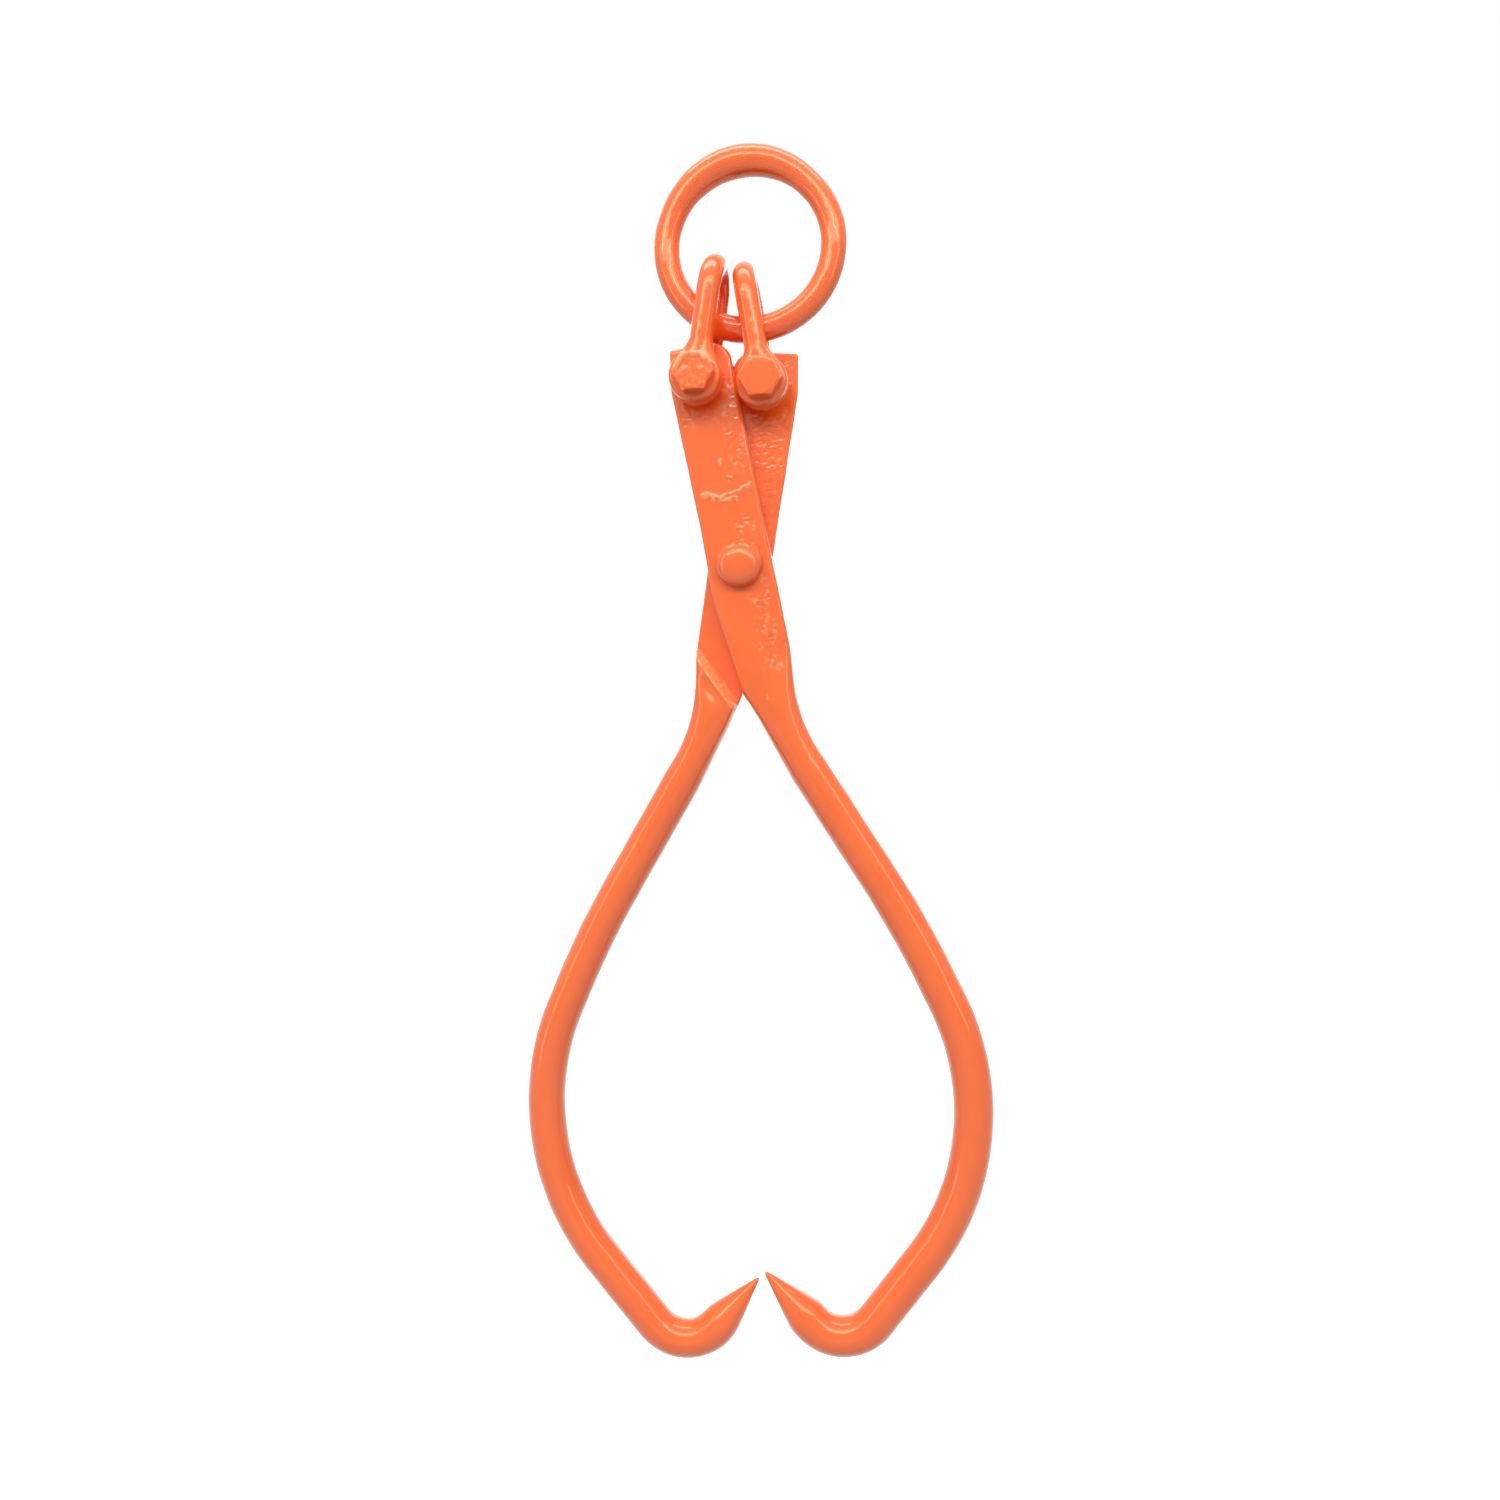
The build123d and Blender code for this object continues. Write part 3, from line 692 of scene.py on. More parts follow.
def root_dent(shape):
    """Depth of the hollow that the shoulder's cut leaves in the back of the root."""
    inner, rim = np.array(SHOULDER_INNER), np.array(SHOULDER_OUTER)
    along = (rim - inner) / np.linalg.norm(rim - inner)
    away = shape[..., :2] - np.array(ROOT_DENT)
    run = away @ along
    across = away @ np.array((-along[1], along[0]))
    hollow = np.exp(-(run / 8.0) ** 2 - (across / 3.4) ** 2)
    return ROOT_DENT_DEPTH * hollow * smooth_step(-shape[..., 2], 2.0, 6.0)


def forge_arm(name, sizes, paint, form, side, eye):
    """Arm in its place: the front one faces the viewer, the rear one is turned half round."""
    shape = arm_shape(sizes, form)
    pitted, bark, ridge = forge_marks(shape, side > 0, form.seed)
    normal = grid_normals(shape)
    rows = np.arange(len(shape))
    calm = smooth_step(np.minimum(rows, len(rows) - 1 - rows), 1, 6)[:, None]
    flat_pits = shape * np.array((0.62, 1.15, 1.0))
    hollow = pits(flat_pits, 1.5, form.seed) * 0.8 + pits(flat_pits, 2.6, form.seed + 1) * 0.4
    dimples = waves(shape * np.array((0.5, 1.2, 1.0)), 1.8, form.seed + 5, 30)
    swell = waves(shape, 18.0, form.seed + 2) + 0.5 * waves(shape, 7.0, form.seed + 4)
    lap_face = 1.0 - smooth_step(shape[..., 2], 0.5, 1.4)
    near_lap = lap_face * smooth_step(shoulder_distance(shape[..., :2]), -2.0, 0.5)
    push = paint.unevenness / MM * swell * (1 - near_lap)
    push -= pitted * hollow * paint.pit_depth / MM
    push += bark * (0.07 * dimples - 0.1)
    push += ridge - root_dent(shape)
    # The cut of the shoulder is left rough, and a pale painted highlight lies along it
    cut = window(shoulder_distance(shape[..., :2]), -2.6, 0.2, 0.9) * (1.0 - smooth_step(shape[..., 2], -0.4, 0.4))
    speck = smooth_step(waves(flat_pits, 1.9, form.seed + 9, 30), 0.3, 1.2)
    grain = smooth_step(waves(shape, 2.4, form.seed + 10, 24), -0.6, 0.8)
    # Painted highlight: pale along the shoulder's cut, glints on pit rims, on the bark's raised dimples and along the
    # flash lines
    painted_highlight = np.maximum.reduce([
        cut, 0.85 * pitted * speck, 0.35 * bark * smooth_step(dimples, 0.9, 1.8), 2.6 * ridge * grain])
    push += 0.16 * cut * waves(shape, 1.9, form.seed + 6, 24)
    push = np.where(near_lap > 0.5, np.minimum(push, 0.0), push) * calm
    shape = shape + normal * push[..., None]
    x = PIVOT[0] + side * shape[..., 0]
    y = -side * shape[..., 2]
    z = PIVOT[2] + side * RIVET_STAGGER + shape[..., 1]
    holes = ((eye, EYE_HOLE), (PIVOT, RIVET_HOLE))
    # Painted shade: darker colour in the pits and in the bark's hollows
    painted_shade = np.clip(0.7 * pitted * hollow + bark * smooth_step(-dimples, 0.6, 2.0) * 0.6, 0.0, 1.0)
    marks = {"painted_shade": painted_shade, "painted_highlight": np.clip(painted_highlight, 0.0, 1.0)}
    return make_piece(name, np.stack([x, y, z], axis=-1), holes=holes, marks=marks)


def paint_material(name, paint, seed, peel, marked=False):
    """Dipped paint over forged steel, worked out on Object coordinates.

    Slow noise shifts the orange between thick and thin coat, finer noise changes the gloss, and
    bumps give the orange peel. A marked coat has painted shade where the painted_shade attribute
    is high, and a pale painted highlight where the painted_highlight one is.
    """
    material = bpy.data.materials.new(name)
    material.use_nodes = True
    tree = material.node_tree
    shader = tree.nodes["Principled BSDF"]
    place = tree.nodes.new("ShaderNodeTexCoord")
    centred = tree.nodes.new("ShaderNodeMapping")
    centred.inputs["Location"].default_value = (0.013 * seed, 0.007 * seed, 0.011 * seed)
    tree.links.new(place.outputs["Object"], centred.inputs["Vector"])

    def noise(scale, detail, roughness):
        node = tree.nodes.new("ShaderNodeTexNoise")
        node.inputs["Scale"].default_value = scale
        node.inputs["Detail"].default_value = detail
        node.inputs["Roughness"].default_value = roughness
        tree.links.new(centred.outputs["Vector"], node.inputs["Vector"])
        return node.outputs["Fac"]

    def bump(height, strength, distance, before=None):
        node = tree.nodes.new("ShaderNodeBump")
        node.inputs["Strength"].default_value = strength
        node.inputs["Distance"].default_value = distance
        tree.links.new(height, node.inputs["Height"])
        if before is not None:
            tree.links.new(before, node.inputs["Normal"])
        return node.outputs["Normal"]

    coat = tree.nodes.new("ShaderNodeValToRGB")
    coat.color_ramp.elements[0].position = 0.25
    coat.color_ramp.elements[0].color = (*paint.deep, 1.0)
    coat.color_ramp.elements[1].position = 0.8
    coat.color_ramp.elements[1].color = (*paint.thin, 1.0)
    full = coat.color_ramp.elements.new(0.5)
    full.color = (*paint.orange, 1.0)
    tree.links.new(noise(22.0, 5.0, 0.6), coat.inputs["Fac"])
    colour = coat.outputs["Color"]

    gloss = tree.nodes.new("ShaderNodeMapRange")
    gloss.inputs["From Min"].default_value = 0.3
    gloss.inputs["From Max"].default_value = 0.7
    gloss.inputs["To Min"].default_value = 0.34
    gloss.inputs["To Max"].default_value = 0.48
    tree.links.new(noise(90.0, 3.0, 0.6), gloss.inputs["Value"])
    tree.links.new(gloss.outputs["Result"], shader.inputs["Roughness"])

    if marked:
        # Painted shade darkens the pits and hollows, and painted highlights pale the cuts, rims and glints
        for mark, tint, grain in (("painted_shade", paint.pit_shade_colour, 700.0), ("painted_highlight", paint.highlight_colour, 400.0)):
            amount = tree.nodes.new("ShaderNodeAttribute")
            amount.attribute_name = mark
            speck = tree.nodes.new("ShaderNodeMath")
            speck.operation = "MULTIPLY"
            tree.links.new(amount.outputs["Fac"], speck.inputs[0])
            tree.links.new(noise(grain, 2.0, 0.7), speck.inputs[1])
            tinted = tree.nodes.new("ShaderNodeMix")
            tinted.data_type = "RGBA"
            tinted.inputs["B"].default_value = (*tint, 1.0)
            tree.links.new(speck.outputs["Value"], tinted.inputs["Factor"])
            tree.links.new(colour, tinted.inputs["A"])
            colour = tinted.outputs["Result"]
    tree.links.new(colour, shader.inputs["Base Color"])

    shader.inputs["Specular IOR Level"].default_value = 0.2
    shader.inputs["Coat Weight"].default_value = paint.gloss
    shader.inputs["Coat Roughness"].default_value = 0.07
    shader.inputs["Coat IOR"].default_value = 1.5
    ripple = bump(noise(160.0, 2.0, 0.5), 0.05, peel)
    tree.links.new(ripple, shader.inputs["Coat Normal"])
    tree.links.new(bump(noise(900.0, 3.0, 0.6), 0.07, peel * 0.5, ripple), shader.inputs["Normal"])
    return material


class TONGS_OT_forge_arms(Operator):
    """Forge both arms: lap half, root, round bar, hook and point in one piece each"""

    bl_idname = "tongs.forge_arms"
    bl_label = "Forge the arms"

    def execute(self, context):
        sizes, paint = context.scene.tongs_sizes, context.scene.tongs_paint
        material = paint_material("arm_coat", paint, 1, 0.00016, marked=True)
        front = forge_arm("front_arm_forging", sizes, paint, FRONT_FORGING, 1.0, LEFT_EYE)
        put_in_place(front, "front_arm", "front_arm", material)
        rear = forge_arm("rear_arm_forging", sizes, paint, REAR_FORGING, -1.0, RIGHT_EYE)
        put_in_place(rear, "rear_arm", "rear_arm", material)
        return {"FINISHED"}


def ring_shape(sizes):
    """Ring of round wire that swells at its crown.

    Round the ring the wire's radius is the plain one plus a bump, (1 - t squared) squared, and
    the wire's inside always lies on the bore.
    """
    wire = sizes.ring_wire / MM / 2
    crown = sizes.ring_crown / MM / 2
    bore_radius = (RING_HIGH[0] - RING_LOW[0]) / 2 - 2 * wire
    turn = np.linspace(0.0, 2 * math.pi, 420, endpoint=False)
    t = np.clip((np.degrees(turn) - 98.0) / 65.0, -1.0, 1.0)
    thick = wire + (crown - wire) * (1 - t * t) ** 2
    roll = np.linspace(0.0, 2 * math.pi, 72, endpoint=False)
    reach = bore_radius + thick[:, None] * (1 + np.cos(roll))
    x = reach * np.cos(turn)[:, None]
    z = -bore_radius + reach * np.sin(turn)[:, None]
    y = thick[:, None] * np.sin(roll)
    return np.stack([x, y, z], axis=-1)


class TONGS_OT_bend_ring(Operator):
    """Bend the lift ring from round wire, swollen at its welded crown"""

    bl_idname = "tongs.bend_ring"
    bl_label = "Bend the ring"

    def execute(self, context):
        sizes, paint = context.scene.tongs_sizes, context.scene.tongs_paint
        shape = ring_shape(sizes)
        normal = grid_normals(shape, closed_rows=True)
        push = paint.unevenness / MM * (waves(shape, 15.0, 71) + 0.4 * waves(shape, 5.0, 72))
        ring = make_piece("ring_wire", shape + normal * push[..., None], closed_rows=True)
        put_in_place(ring, "ring", "lift_ring", paint_material("ring_coat", paint, 2, 0.00003))
        return {"FINISHED"}


def shackle_shape(sizes, eye, side, lean):
    """Grid of a shackle: up one ear and leg, over the bow, and down the other.

    The section is an ear's rounded plate, as wide as the disc is there, that narrows through the
    neck into round wire. The bow is a half circle between the legs.
    """
    wire = sizes.shackle_wire / MM / 2
    ear = sizes.ear_diameter / MM / 2
    thick = sizes.ear_thickness / MM / 2
    leg = sizes.shackle_jaw / MM / 2 + thick
    shoulder = sizes.shackle_reach / MM + wire - leg
    disc = -ear * np.cos(np.linspace(0.0, math.pi / 2, 30, endpoint=False))
    straight = np.linspace(0.0, shoulder, 60)
    bow = np.linspace(0.0, math.pi / 2, 36)[1:]
    climb = np.concatenate([disc, straight, shoulder + leg * np.sin(bow)])
    out = np.concatenate([np.full(len(disc) + len(straight), leg), leg * np.cos(bow)])
    slant = np.concatenate([np.zeros(len(disc) + len(straight)), bow])
    climb = np.concatenate([climb, climb[-2::-1]])
    out = np.concatenate([out, -out[-2::-1]])
    slant = np.concatenate([slant, math.pi - slant[-2::-1]])
    disc_width = np.sqrt(np.maximum(ear ** 2 - climb ** 2, 0.0))
    neck = wire + (ear * 0.84 - wire) * (1 - smooth_step(climb, 3.5, 18.0))
    width = np.where(climb < 0.0, disc_width, np.maximum(neck, np.where(climb < ear, disc_width, 0.0)))
    width[climb > 19.5] = wire
    roundness = smooth_step(climb, 5.0, 18.0)
    depth = thick + (wire - thick) * smooth_step(climb, 6.0, 18.0)
    edge = np.full(len(climb), 2.2)

    def rim(across):
        below = climb[:, None]
        return np.where(below < 0.0, ear - np.sqrt(across ** 2 + below ** 2), np.inf)

    across, up = forged_quarter(width, depth, edge, roundness, rim)
    cos, sin = np.cos(slant)[:, None], np.sin(slant)[:, None]
    quarters = []
    for way, outward in ((1.0, 1.0), (-1.0, 1.0), (-1.0, -1.0), (1.0, -1.0)):
        y = out[:, None] + outward * up * cos
        z = climb[:, None] + outward * up * sin
        quarters.append(np.stack([way * across, y, z], axis=-1))
    flat = go_round(*quarters)
    cos, sin = math.cos(lean), math.sin(lean)
    x = eye[0] + flat[..., 0] * cos - side * flat[..., 2] * sin
    z = eye[2] + side * flat[..., 0] * sin + flat[..., 2] * cos
    return flat, x, z


class TONGS_OT_bend_shackles(Operator):
    """Bend both shackles: a round bow on two drilled ears, passed through the ring"""

    bl_idname = "tongs.bend_shackles"
    bl_label = "Bend the shackles"

    def execute(self, context):
        sizes, paint = context.scene.tongs_sizes, context.scene.tongs_paint
        material = paint_material("shackle_coat", paint, 3, 0.00008)
        for name, body, eye, side, lean in (
            ("left_shackle", "left_link", LEFT_EYE, -1.0, math.radians(9.9)),
            ("right_shackle", "right_link", RIGHT_EYE, 1.0, math.radians(7.8)),
        ):
            low, high = node_box(name)
            flat, x, z = shackle_shape(sizes, eye, side, lean)
            y = (low[1] + high[1]) / 2 + flat[..., 1]
            shape = np.stack([x, y, z], axis=-1)
            calm = smooth_step(np.arange(len(shape)), 2, 10) * smooth_step(np.arange(len(shape))[::-1], 2, 10)
            push = paint.unevenness / MM * (waves(shape, 12.0, 81 + int(side)) + 0.6 * waves(shape, 4.5, 84)) * calm[:, None]
            shape = shape + grid_normals(shape) * push[..., None]
            piece = make_piece(name + "_forging", shape, holes=((eye, EYE_HOLE),))
            put_in_place(piece, body, name, material)
        return {"FINISHED"}


def hexagon(flats, turn, softness=46.0):
    """Radius of a hexagon with corners at left and right, rounded a little.

    It is half the flats over the p-norm of the cosines to the three pairs of flats.
    """
    sides = np.radians((30.0, 90.0, 150.0))
    lean = np.abs(np.cos(turn[:, None] - sides))
    return flats / 2 / (lean ** softness).sum(axis=1) ** (1 / softness)


def hex_rows(flats, height, both_ends, edge):
    """Profile of a hexagonal block round its side, as pairs of radius and height grids.

    Its top edge is rounded along the hexagon, and a cone of 30 degrees takes its corners off.
    """
    turn = np.linspace(0.0, 2 * math.pi, 144, endpoint=False)
    outline = hexagon(flats, turn)
    face = flats / 2 * 0.98
    swing = np.linspace(0.0, math.pi / 2, 8)
    radius = np.concatenate([outline[None] - edge * (1 - np.cos(s))[None] for s in swing[:, None]])
    rise = height - edge * (1 - np.sin(swing))[:, None] + np.zeros_like(radius)
    cone = height - np.maximum(radius - face, 0.0) * math.tan(math.radians(30.0))
    rise = np.minimum(rise, cone)
    side = np.linspace(0.0, 1.0, 9)[:-1, None]
    foot = np.zeros(outline.shape)
    if both_ends:
        foot = height - rise[0]
    side_rise = foot + side * (rise[0] - foot)
    side_radius = outline[None] + np.zeros_like(side_rise)
    return turn, np.concatenate([side_radius, radius]), np.concatenate([side_rise, rise])


def turned_rows(turn, profile):
    """Rows of a turned profile: the same radius and height all round, one row a pair."""
    profile = np.asarray(profile, float)
    radius = profile[:, :1] + np.zeros(len(turn))
    height = profile[:, 1:] + np.zeros(len(turn))
    return radius, height


def stand_up(centre, turn, radius, height, outward):
    """Places rows of radius and height round an axis along Y, from a seat at centre."""
    x = centre[0] + radius * np.cos(turn)
    z = centre[2] + radius * np.sin(turn)
    y = centre[1] + outward * height
    return np.stack([x, y, z], axis=-1)


def bolt_shape(sizes, flats, eye, low, high):
    """Grid of a bolt from the middle of its head's face to the middle of its thread's end.

    The thread's radius is the bolt's less half the cosine of its turn minus its climb.
    """
    head = sizes.head_height / MM
    shank = sizes.bolt_diameter / MM / 2
    seat = (eye[0], low[1] + head, eye[2])
    turn, radius, rise = hex_rows(flats / MM, head, False, 0.75)
    face = np.linspace(0.0, 1.0, 12, endpoint=False)[:, None] * radius[-1]
    bulge = head + 0.12 * (1 - (face / np.maximum(radius[-1], 1e-6)) ** 2)
    under = np.linspace(0.98, 0.62, 6)[:, None] * radius[0]
    under = np.maximum(under, shank)
    reach = high[1] - seat[1]
    plain = reach - 26.0
    smooth_radius, smooth_height = turned_rows(turn, [(shank, -d) for d in np.linspace(0.0, plain, 30)])
    climb = np.linspace(plain, reach - 1.2, 150)[1:, None]
    cut = 0.5 - 0.5 * np.cos(turn - 2 * math.pi * climb / 1.5)
    fade = smooth_step(climb, plain, plain + 3.0)
    thread_radius = shank - 0.55 * cut * fade
    end = np.linspace(0.0, 1.0, 7)[1:, None]
    end_radius = thread_radius[-1] - 1.0 * end + np.zeros(len(turn))
    cap = end_radius[-1] * np.linspace(1.0, 0.0, 10)[1:, None]
    grids = [
        (face, bulge),
        (radius[::-1], rise[::-1]),
        (under, np.zeros_like(under)),
        (smooth_radius, smooth_height),
        (thread_radius, -climb + np.zeros(len(turn))),
        (end_radius, -(reach - 1.2 + 1.2 * end) + np.zeros(len(turn))),
        (cap, np.full_like(cap, -reach)),
    ]
    rows = [stand_up(seat, turn, r, h, -1.0) for r, h in grids]
    return np.concatenate(rows)


class TONGS_OT_fit_bolts(Operator):
    """Fit the two hex bolts that hold the shackles to the arms' eyes"""

    bl_idname = "tongs.fit_bolts"
    bl_label = "Fit the bolts"

    def execute(self, context):
        sizes, paint = context.scene.tongs_sizes, context.scene.tongs_paint
        material = paint_material("fastener_coat", paint, 4, 0.00012, marked=True)
        for name, body, eye, flats, amount, dish in (
            ("left_bolt", "left_link", LEFT_EYE, sizes.head_flats, 0.04, 0.75),
            ("right_bolt", "right_link", RIGHT_EYE, sizes.thick_head_flats, 0.012, 0.0),
        ):
            low, high = node_box(name)
            shape = bolt_shape(sizes, flats, eye, low, high)
            in_head = 1.0 - smooth_step(shape[..., 1], low[1] + 5.0, low[1] + 6.4)
            across, up = shape[..., 0] - eye[0], shape[..., 2] - eye[2]
            ways = np.radians((30.0, 90.0, 150.0))
            reach = np.abs(across[..., None] * np.cos(ways) + up[..., None] * np.sin(ways)).max(axis=-1)
            reach = reach / (flats / MM / 2)
            on_face = 1.0 - smooth_step(shape[..., 1], low[1] + 0.3, low[1] + 1.2)
            # One head's face is dished, and its upper rim stands proud
            upper_rim = smooth_step(up - 0.25 * across, 0.5, 4.0)
            sunk = dish * on_face * (1.0 - smooth_step(reach, 0.66, 0.84) * upper_rim)
            push = in_head * amount * waves(shape, 4.0, 91)
            shape = shape + grid_normals(shape) * push[..., None]
            shape[..., 1] += sunk
            shape[0] = shape[0].mean(axis=0)
            # Painted highlight: a pale band on the dished head's upper rim, and glints over its face
            painted_glints = 0.45 * smooth_step(waves(shape, 2.4, 95, 24), 0.1, 1.2)
            painted_highlight = dish * on_face * np.maximum(1.3 * upper_rim * window(reach, 0.78, 1.02, 0.08), painted_glints)
            piece = make_piece(name + "_steel", shape, marks={"painted_highlight": painted_highlight})
            put_in_place(piece, body, name, material)
        return {"FINISHED"}


class TONGS_OT_fit_nuts(Operator):
    """Fit the nuts on the thread ends, chamfered at both faces"""

    bl_idname = "tongs.fit_nuts"
    bl_label = "Fit the nuts"

    def execute(self, context):
        sizes = context.scene.tongs_sizes
        material = bpy.data.materials["fastener_coat"]
        height = sizes.nut_height / MM
        hole = sizes.bolt_diameter / MM / 2 + 0.08
        for name, body, eye in (("left_nut", "left_link", LEFT_EYE), ("right_nut", "right_link", RIGHT_EYE)):
            low, high = node_box(name)
            turn, radius, rise = hex_rows(sizes.head_flats / MM, height, True, 0.7)
            lower_radius = radius[:7:-1]
            lower_rise = height - rise[:7:-1]
            seat = (eye[0], low[1], eye[2])
            inward = np.linspace(1.0, 0.0, 8)[1:, None]
            top = hole + 0.5 + (radius[-1] - hole - 0.5) * inward
            bottom = hole + 0.5 + (lower_radius[0] - hole - 0.5) * inward[::-1]
            bore_radius, bore_height = turned_rows(turn, [(hole, height - 0.5), (hole, height / 2), (hole, 0.5)])
            grids = [
                (bottom, np.zeros_like(bottom)),
                (lower_radius, lower_rise),
                (radius[:8], rise[:8]),
                (radius[8:], rise[8:]),
                (top, np.full_like(top, height)),
                (bore_radius, bore_height),
            ]
            shape = np.concatenate([stand_up(seat, turn, r, h, 1.0) for r, h in grids])
            piece = make_piece(name + "_steel", shape, closed_rows=True)
            put_in_place(piece, body, name, material)
        return {"FINISHED"}


class TONGS_OT_fit_washers(Operator):
    """Fit the split lock washers between the rear ears and the nuts"""

    bl_idname = "tongs.fit_washers"
    bl_label = "Fit the washers"

    def execute(self, context):
        sizes = context.scene.tongs_sizes
        material = bpy.data.materials["fastener_coat"]
        thick = sizes.washer_thickness / MM
        outer = sizes.washer_diameter / MM / 2
        inner = sizes.bolt_diameter / MM / 2 + 0.08
        gap = 1.6 / outer
        corner = 0.35
        swing = np.linspace(0.0, math.pi / 2, 4)
        quarter = np.stack([np.cos(swing), np.sin(swing)], axis=1) * corner
        mid_radius, half = (outer + inner) / 2, (outer - inner) / 2
        corners = ((1, 1), (-1, 1), (-1, -1), (1, -1))
        loop = []
        for k, (a, b) in enumerate(corners):
            arc = quarter if k % 2 == 0 else quarter[::-1]
            spot = np.array((a * (half - corner), b * (thick / 2 - corner)))
            loop.append(spot + arc * np.array((a, b)))
        loop = np.concatenate(loop)
        for name, body, eye in (
            ("left_lock_washer", "left_link", LEFT_EYE), ("right_lock_washer", "right_link", RIGHT_EYE),
        ):
            low, high = node_box(name)
            turn = np.linspace(gap / 2, 2 * math.pi - gap / 2, 150)[:, None] + math.pi / 2
            slant = loop[None, :, 1] * math.tan(math.radians(25.0)) / outer
            angle = turn + slant
            radius = mid_radius + loop[None, :, 0]
            x = eye[0] + radius * np.cos(angle)
            z = eye[2] + radius * np.sin(angle)
            y = (low[1] + high[1]) / 2 + loop[None, :, 1] + np.zeros_like(x)
            piece = make_piece(name + "_steel", np.stack([x, y, z], axis=-1))
            put_in_place(piece, body, name, material)
        return {"FINISHED"}


class TONGS_OT_head_rivet(Operator):
    """Head the pivot rivet: a plain shank with a hammered dome at both ends"""

    bl_idname = "tongs.head_rivet"
    bl_label = "Head the rivet"

    def execute(self, context):
        sizes, paint = context.scene.tongs_sizes, context.scene.tongs_paint
        low, high = node_box("pivot_rivet")
        head = sizes.rivet_head / MM / 2
        dome = sizes.rivet_dome / MM
        shank = sizes.rivet_diameter / MM / 2
        seat = high[1] - dome
        turn = np.linspace(0.0, 2 * math.pi, 120, endpoint=False)
        swing = np.linspace(0.0, math.pi / 2, 52)
        cap = np.stack([head * np.sin(swing) ** 0.72, seat + 0.3 + (dome - 0.3) * np.cos(swing) ** 0.72], axis=1)
        under = np.stack([np.linspace(head - 0.25, shank, 10), np.full(10, seat)], axis=1)
        body = np.stack([np.full(12, shank), np.linspace(seat, 0.0, 13)[1:]], axis=1)
        half = np.concatenate([cap, under, body])
        other = half[-2::-1] * np.array((1.0, -1.0))
        profile = np.concatenate([half, other])
        radius, height = turned_rows(turn, profile)
        shape = stand_up((PIVOT[0], 0.0, PIVOT[2]), turn, radius, height, 1.0)
        outside = smooth_step(np.abs(height), seat + 0.2, seat + 1.2)
        push = outside * 0.08 * waves(shape, 9.0, 101)
        shape = shape + grid_normals(shape) * push[..., None]
        # The front head was hammered a little to one side
        shape[..., 0] += RIVET_SHIFT * smooth_step(-height, seat - 0.1, seat)
        shape[0] = shape[0].mean(axis=0)
        shape[-1] = shape[-1].mean(axis=0)
        piece = make_piece("pivot_rivet_steel", shape)
        put_in_place(piece, "front_arm", "pivot_rivet", bpy.data.materials["fastener_coat"])
        return {"FINISHED"}


# Where the rivet stands in the picture, and the picture's middle, in pixels
RIVET_PIXEL = (738.7, 567.3)
FRAME_MIDDLE = 750.0


def camera_turn(studio):
    """Rows are the camera's right, down and ahead: pitch after yaw after roll of the object."""
    facing = np.array(((1, 0, 0), (0, 0, -1), (0, 1, 0)), float)
    cos, sin = math.cos(studio.roll), math.sin(studio.roll)
    roll = np.array(((cos, -sin, 0), (sin, cos, 0), (0, 0, 1)))
    cos, sin = math.cos(studio.yaw), math.sin(studio.yaw)
    yaw = np.array(((cos, 0, -sin), (0, 1, 0), (sin, 0, cos)))
    cos, sin = math.cos(studio.pitch), math.sin(studio.pitch)
    pitch = np.array(((1, 0, 0), (0, cos, -sin), (0, sin, cos)))
    return pitch @ yaw @ roll @ facing


def add_camera(studio):
    """Camera that sees the rivet at its pixel, at the photograph's scale and angle."""
    rows = camera_turn(studio)
    sight = np.array((RIVET_PIXEL[0] - FRAME_MIDDLE, RIVET_PIXEL[1] - FRAME_MIDDLE, studio.focal_pixels))
    place = PIVOT * MM - rows.T @ sight * studio.scale
    lens = bpy.data.cameras.new("view_camera")
    lens.sensor_width = 36.0
    lens.lens = lens.sensor_width * studio.focal_pixels / (2 * FRAME_MIDDLE)
    camera = bpy.data.objects.new("view_camera", lens)
    basis = Matrix(np.stack([rows[0], -rows[1], -rows[2]], axis=1).tolist()).to_4x4()
    camera.matrix_world = Matrix.Translation(Vector(place)) @ basis
    bpy.context.scene.collection.objects.link(camera)
    bpy.context.scene.camera = camera


def add_lamp(name, place, target, width, height, power, colour=(1.0, 1.0, 1.0)):
    """Soft rectangular lamp that faces a target."""
    light = bpy.data.lights.new(name, "AREA")
    light.shape = "RECTANGLE"
    light.size = width
    light.size_y = height
    light.energy = power
    light.color = colour
    lamp = bpy.data.objects.new(name, light)
    lamp.location = place
    lamp.rotation_euler = (Vector(target) - Vector(place)).to_track_quat("-Z", "Y").to_euler()
    bpy.context.scene.collection.objects.link(lamp)


def seen_white(tree, plain, white):
    """Mixes a plain shader with a white one that only camera, glossy and transmitted rays see."""
    rays = tree.nodes.new("ShaderNodeLightPath")
    seen = tree.nodes.new("ShaderNodeMath")
    seen.operation = "MAXIMUM"
    tree.links.new(rays.outputs["Is Camera Ray"], seen.inputs[0])
    tree.links.new(rays.outputs["Is Glossy Ray"], seen.inputs[1])
    all_seen = tree.nodes.new("ShaderNodeMath")
    all_seen.operation = "MAXIMUM"
    tree.links.new(seen.outputs["Value"], all_seen.inputs[0])
    tree.links.new(rays.outputs["Is Transmission Ray"], all_seen.inputs[1])
    mix = tree.nodes.new("ShaderNodeMixShader")
    tree.links.new(all_seen.outputs["Value"], mix.inputs["Fac"])
    tree.links.new(plain, mix.inputs[1])
    tree.links.new(white, mix.inputs[2])
    return mix.outputs["Shader"]


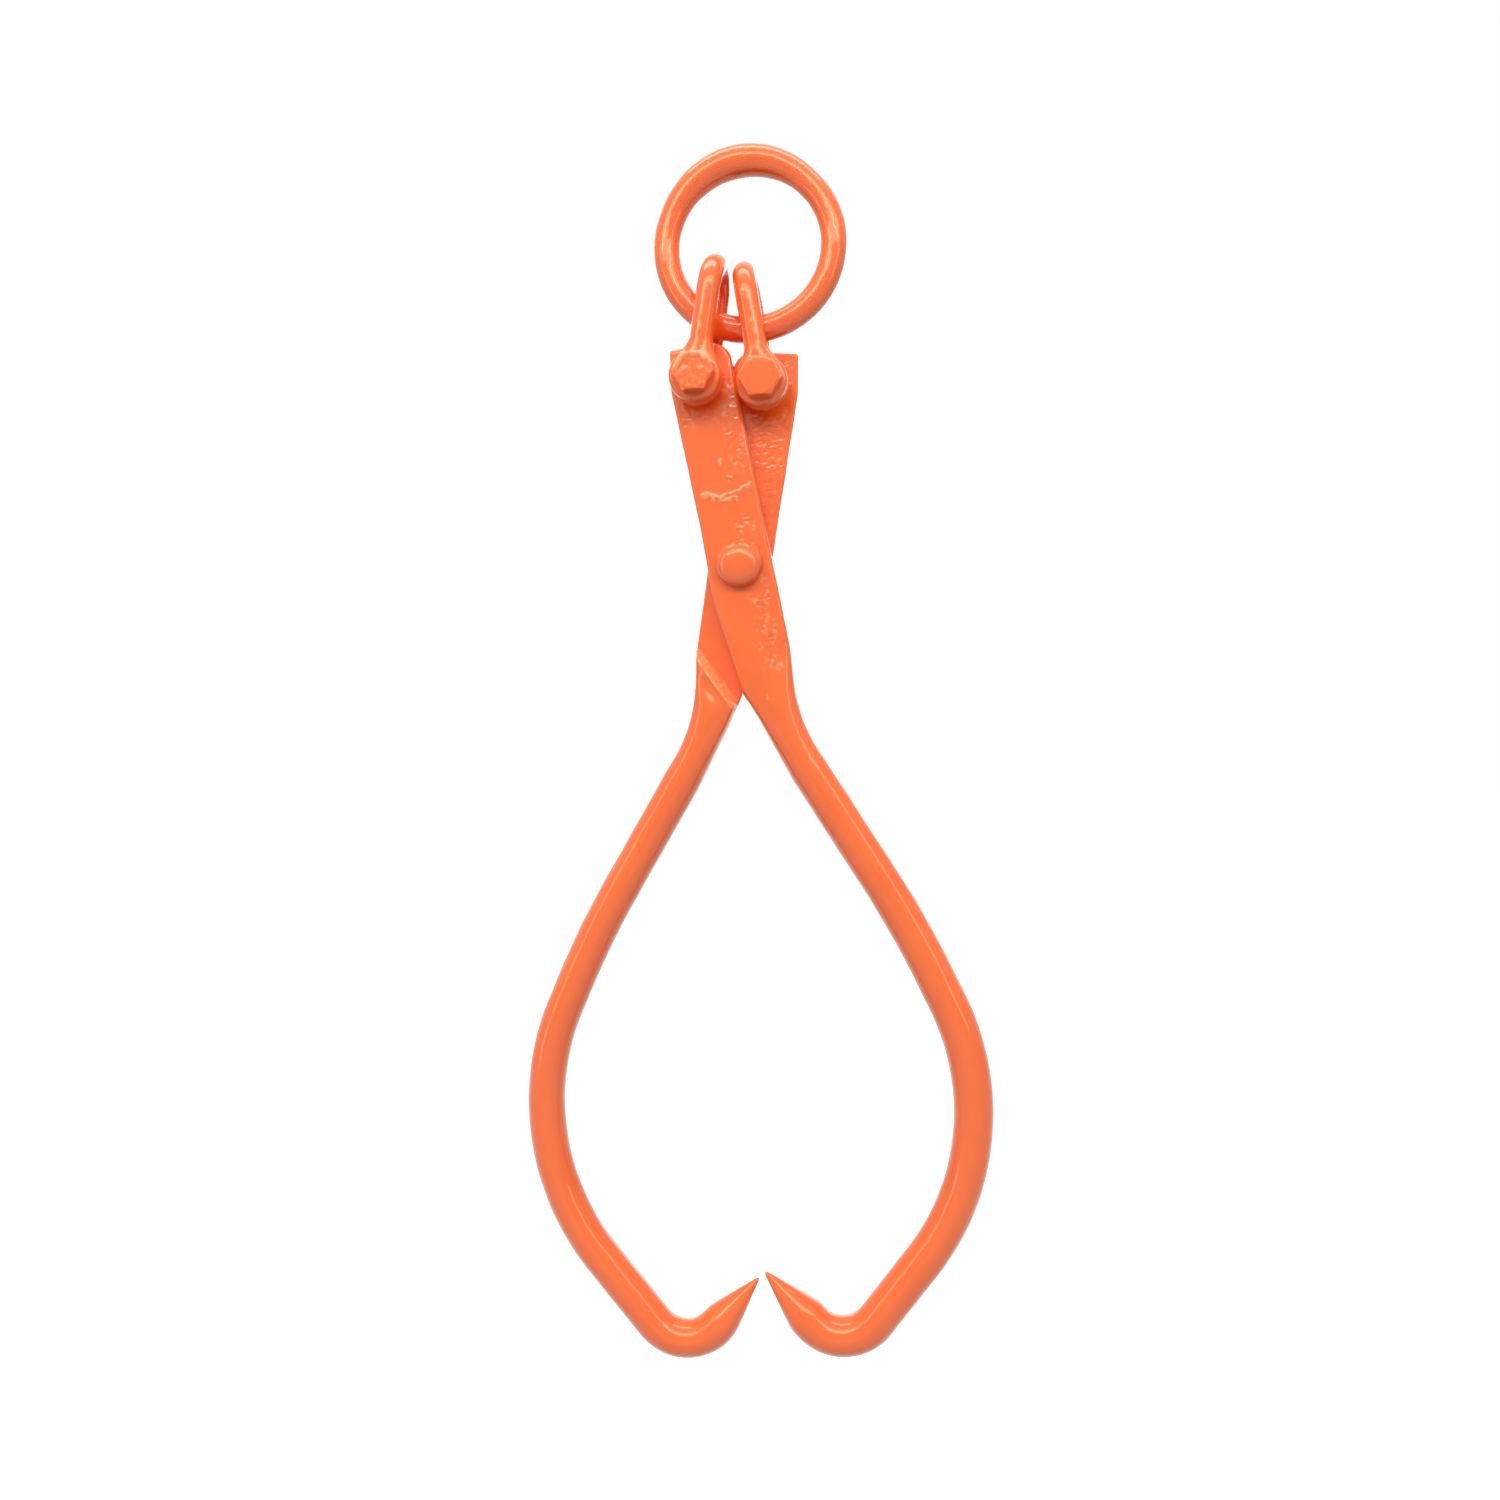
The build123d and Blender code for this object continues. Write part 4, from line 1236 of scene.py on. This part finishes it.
class TONGS_OT_set_stage(Operator):
    """Set the plain floor, the white surround, the soft lamps and the camera"""

    bl_idname = "tongs.set_stage"
    bl_label = "Set the stage"

    def execute(self, context):
        studio = context.scene.tongs_studio
        low, high = CAD_BOX
        height = low[2] - studio.floor_drop
        reach = 12.0
        mesh = bpy.data.meshes.new("floor")
        corners = [(-reach, -reach, height), (reach, -reach, height), (reach, reach, height), (-reach, reach, height)]
        mesh.from_pydata(corners, [], [(0, 1, 2, 3)])
        floor = bpy.data.objects.new("floor", mesh)
        context.scene.collection.objects.link(floor)
        material = bpy.data.materials.new("pale_floor")
        material.use_nodes = True
        tree = material.node_tree
        shader = tree.nodes["Principled BSDF"]
        shader.inputs["Base Color"].default_value = (0.5, 0.5, 0.5, 1.0)
        shader.inputs["Roughness"].default_value = 0.9
        glow = tree.nodes.new("ShaderNodeEmission")
        glow.inputs["Strength"].default_value = 0.8
        lit = tree.nodes.new("ShaderNodeAddShader")
        tree.links.new(shader.outputs["BSDF"], lit.inputs[0])
        tree.links.new(glow.outputs["Emission"], lit.inputs[1])
        dim = tree.nodes.new("ShaderNodeBsdfDiffuse")
        dim.inputs["Color"].default_value = (0.22, 0.22, 0.22, 1.0)
        mixed = seen_white(tree, dim.outputs["BSDF"], lit.outputs["Shader"])
        tree.links.new(mixed, tree.nodes["Material Output"].inputs["Surface"])
        mesh.materials.append(material)

        world = bpy.data.worlds.new("white_surround")
        world.use_nodes = True
        tree = world.node_tree
        sky = tree.nodes["Background"]
        sky.inputs["Color"].default_value = (1.0, 1.0, 1.0, 1.0)
        sky.inputs["Strength"].default_value = studio.sky
        white = tree.nodes.new("ShaderNodeBackground")
        white.inputs["Color"].default_value = (1.0, 1.0, 1.0, 1.0)
        white.inputs["Strength"].default_value = 1.0
        mixed = seen_white(tree, sky.outputs["Background"], white.outputs["Background"])
        tree.links.new(mixed, tree.nodes["World Output"].inputs["Surface"])
        context.scene.world = world

        target = (0.0, 0.0, -0.25)
        add_lamp("front_soft", (0.0, -1.65, 0.93), target, 3.0, 0.66, studio.front_power, studio.strip_colour)
        add_lamp("front_strip", (0.0, -1.66, 0.84), target, 3.4, 0.07, studio.strip_power, studio.strip_colour)
        add_lamp("right_strip", (1.6, -1.3, 0.42), target, 0.4, 1.5, studio.side_power, studio.strip_colour)
        add_lamp("left_strip", (-1.7, -1.2, 0.1), target, 0.4, 1.5, studio.side_power, studio.strip_colour)
        add_lamp("overhead", (0.0, -0.2, 1.6), target, 2.2, 0.6, studio.overhead_power)
        add_lamp("rear_fill", (0.0, 2.0, 0.3), target, 2.4, 1.2, studio.rear_power)
        add_camera(studio)
        context.scene.view_settings.view_transform = "Standard"
        return {"FINISHED"}


class TONGS_PT_sidebar(Panel):
    """Sizes, paint and studio of the tongs, with a button for each group of pieces"""

    bl_idname = "TONGS_PT_sidebar"
    bl_label = "Lifting tongs"
    bl_space_type = "VIEW_3D"
    bl_region_type = "UI"
    bl_category = "Tongs"

    def draw(self, context):
        scene = context.scene
        for group in (scene.tongs_sizes, scene.tongs_paint, scene.tongs_studio):
            box = self.layout.box()
            for name in group.__annotations__:
                box.prop(group, name)
        for operator in OPERATORS:
            self.layout.operator(operator.bl_idname)


GROUPS = (TongsSizes, TongsPaint, TongsStudio)
OPERATORS = (
    TONGS_OT_set_stage,
    TONGS_OT_forge_arms,
    TONGS_OT_bend_ring,
    TONGS_OT_bend_shackles,
    TONGS_OT_fit_bolts,
    TONGS_OT_fit_nuts,
    TONGS_OT_fit_washers,
    TONGS_OT_head_rivet,
)


def register():
    for item in (*GROUPS, *OPERATORS, TONGS_PT_sidebar):
        bpy.utils.register_class(item)
    bpy.types.Scene.tongs_sizes = PointerProperty(type=TongsSizes)
    bpy.types.Scene.tongs_paint = PointerProperty(type=TongsPaint)
    bpy.types.Scene.tongs_studio = PointerProperty(type=TongsStudio)


def unregister():
    del bpy.types.Scene.tongs_studio
    del bpy.types.Scene.tongs_paint
    del bpy.types.Scene.tongs_sizes
    for item in reversed((*GROUPS, *OPERATORS, TONGS_PT_sidebar)):
        bpy.utils.unregister_class(item)


def main():
    """Builds the stage and every piece."""
    register()
    bpy.ops.tongs.set_stage()
    bpy.ops.tongs.forge_arms()
    bpy.ops.tongs.bend_ring()
    bpy.ops.tongs.bend_shackles()
    bpy.ops.tongs.fit_bolts()
    bpy.ops.tongs.fit_nuts()
    bpy.ops.tongs.fit_washers()
    bpy.ops.tongs.head_rivet()


if __name__ == "__main__":
    main()
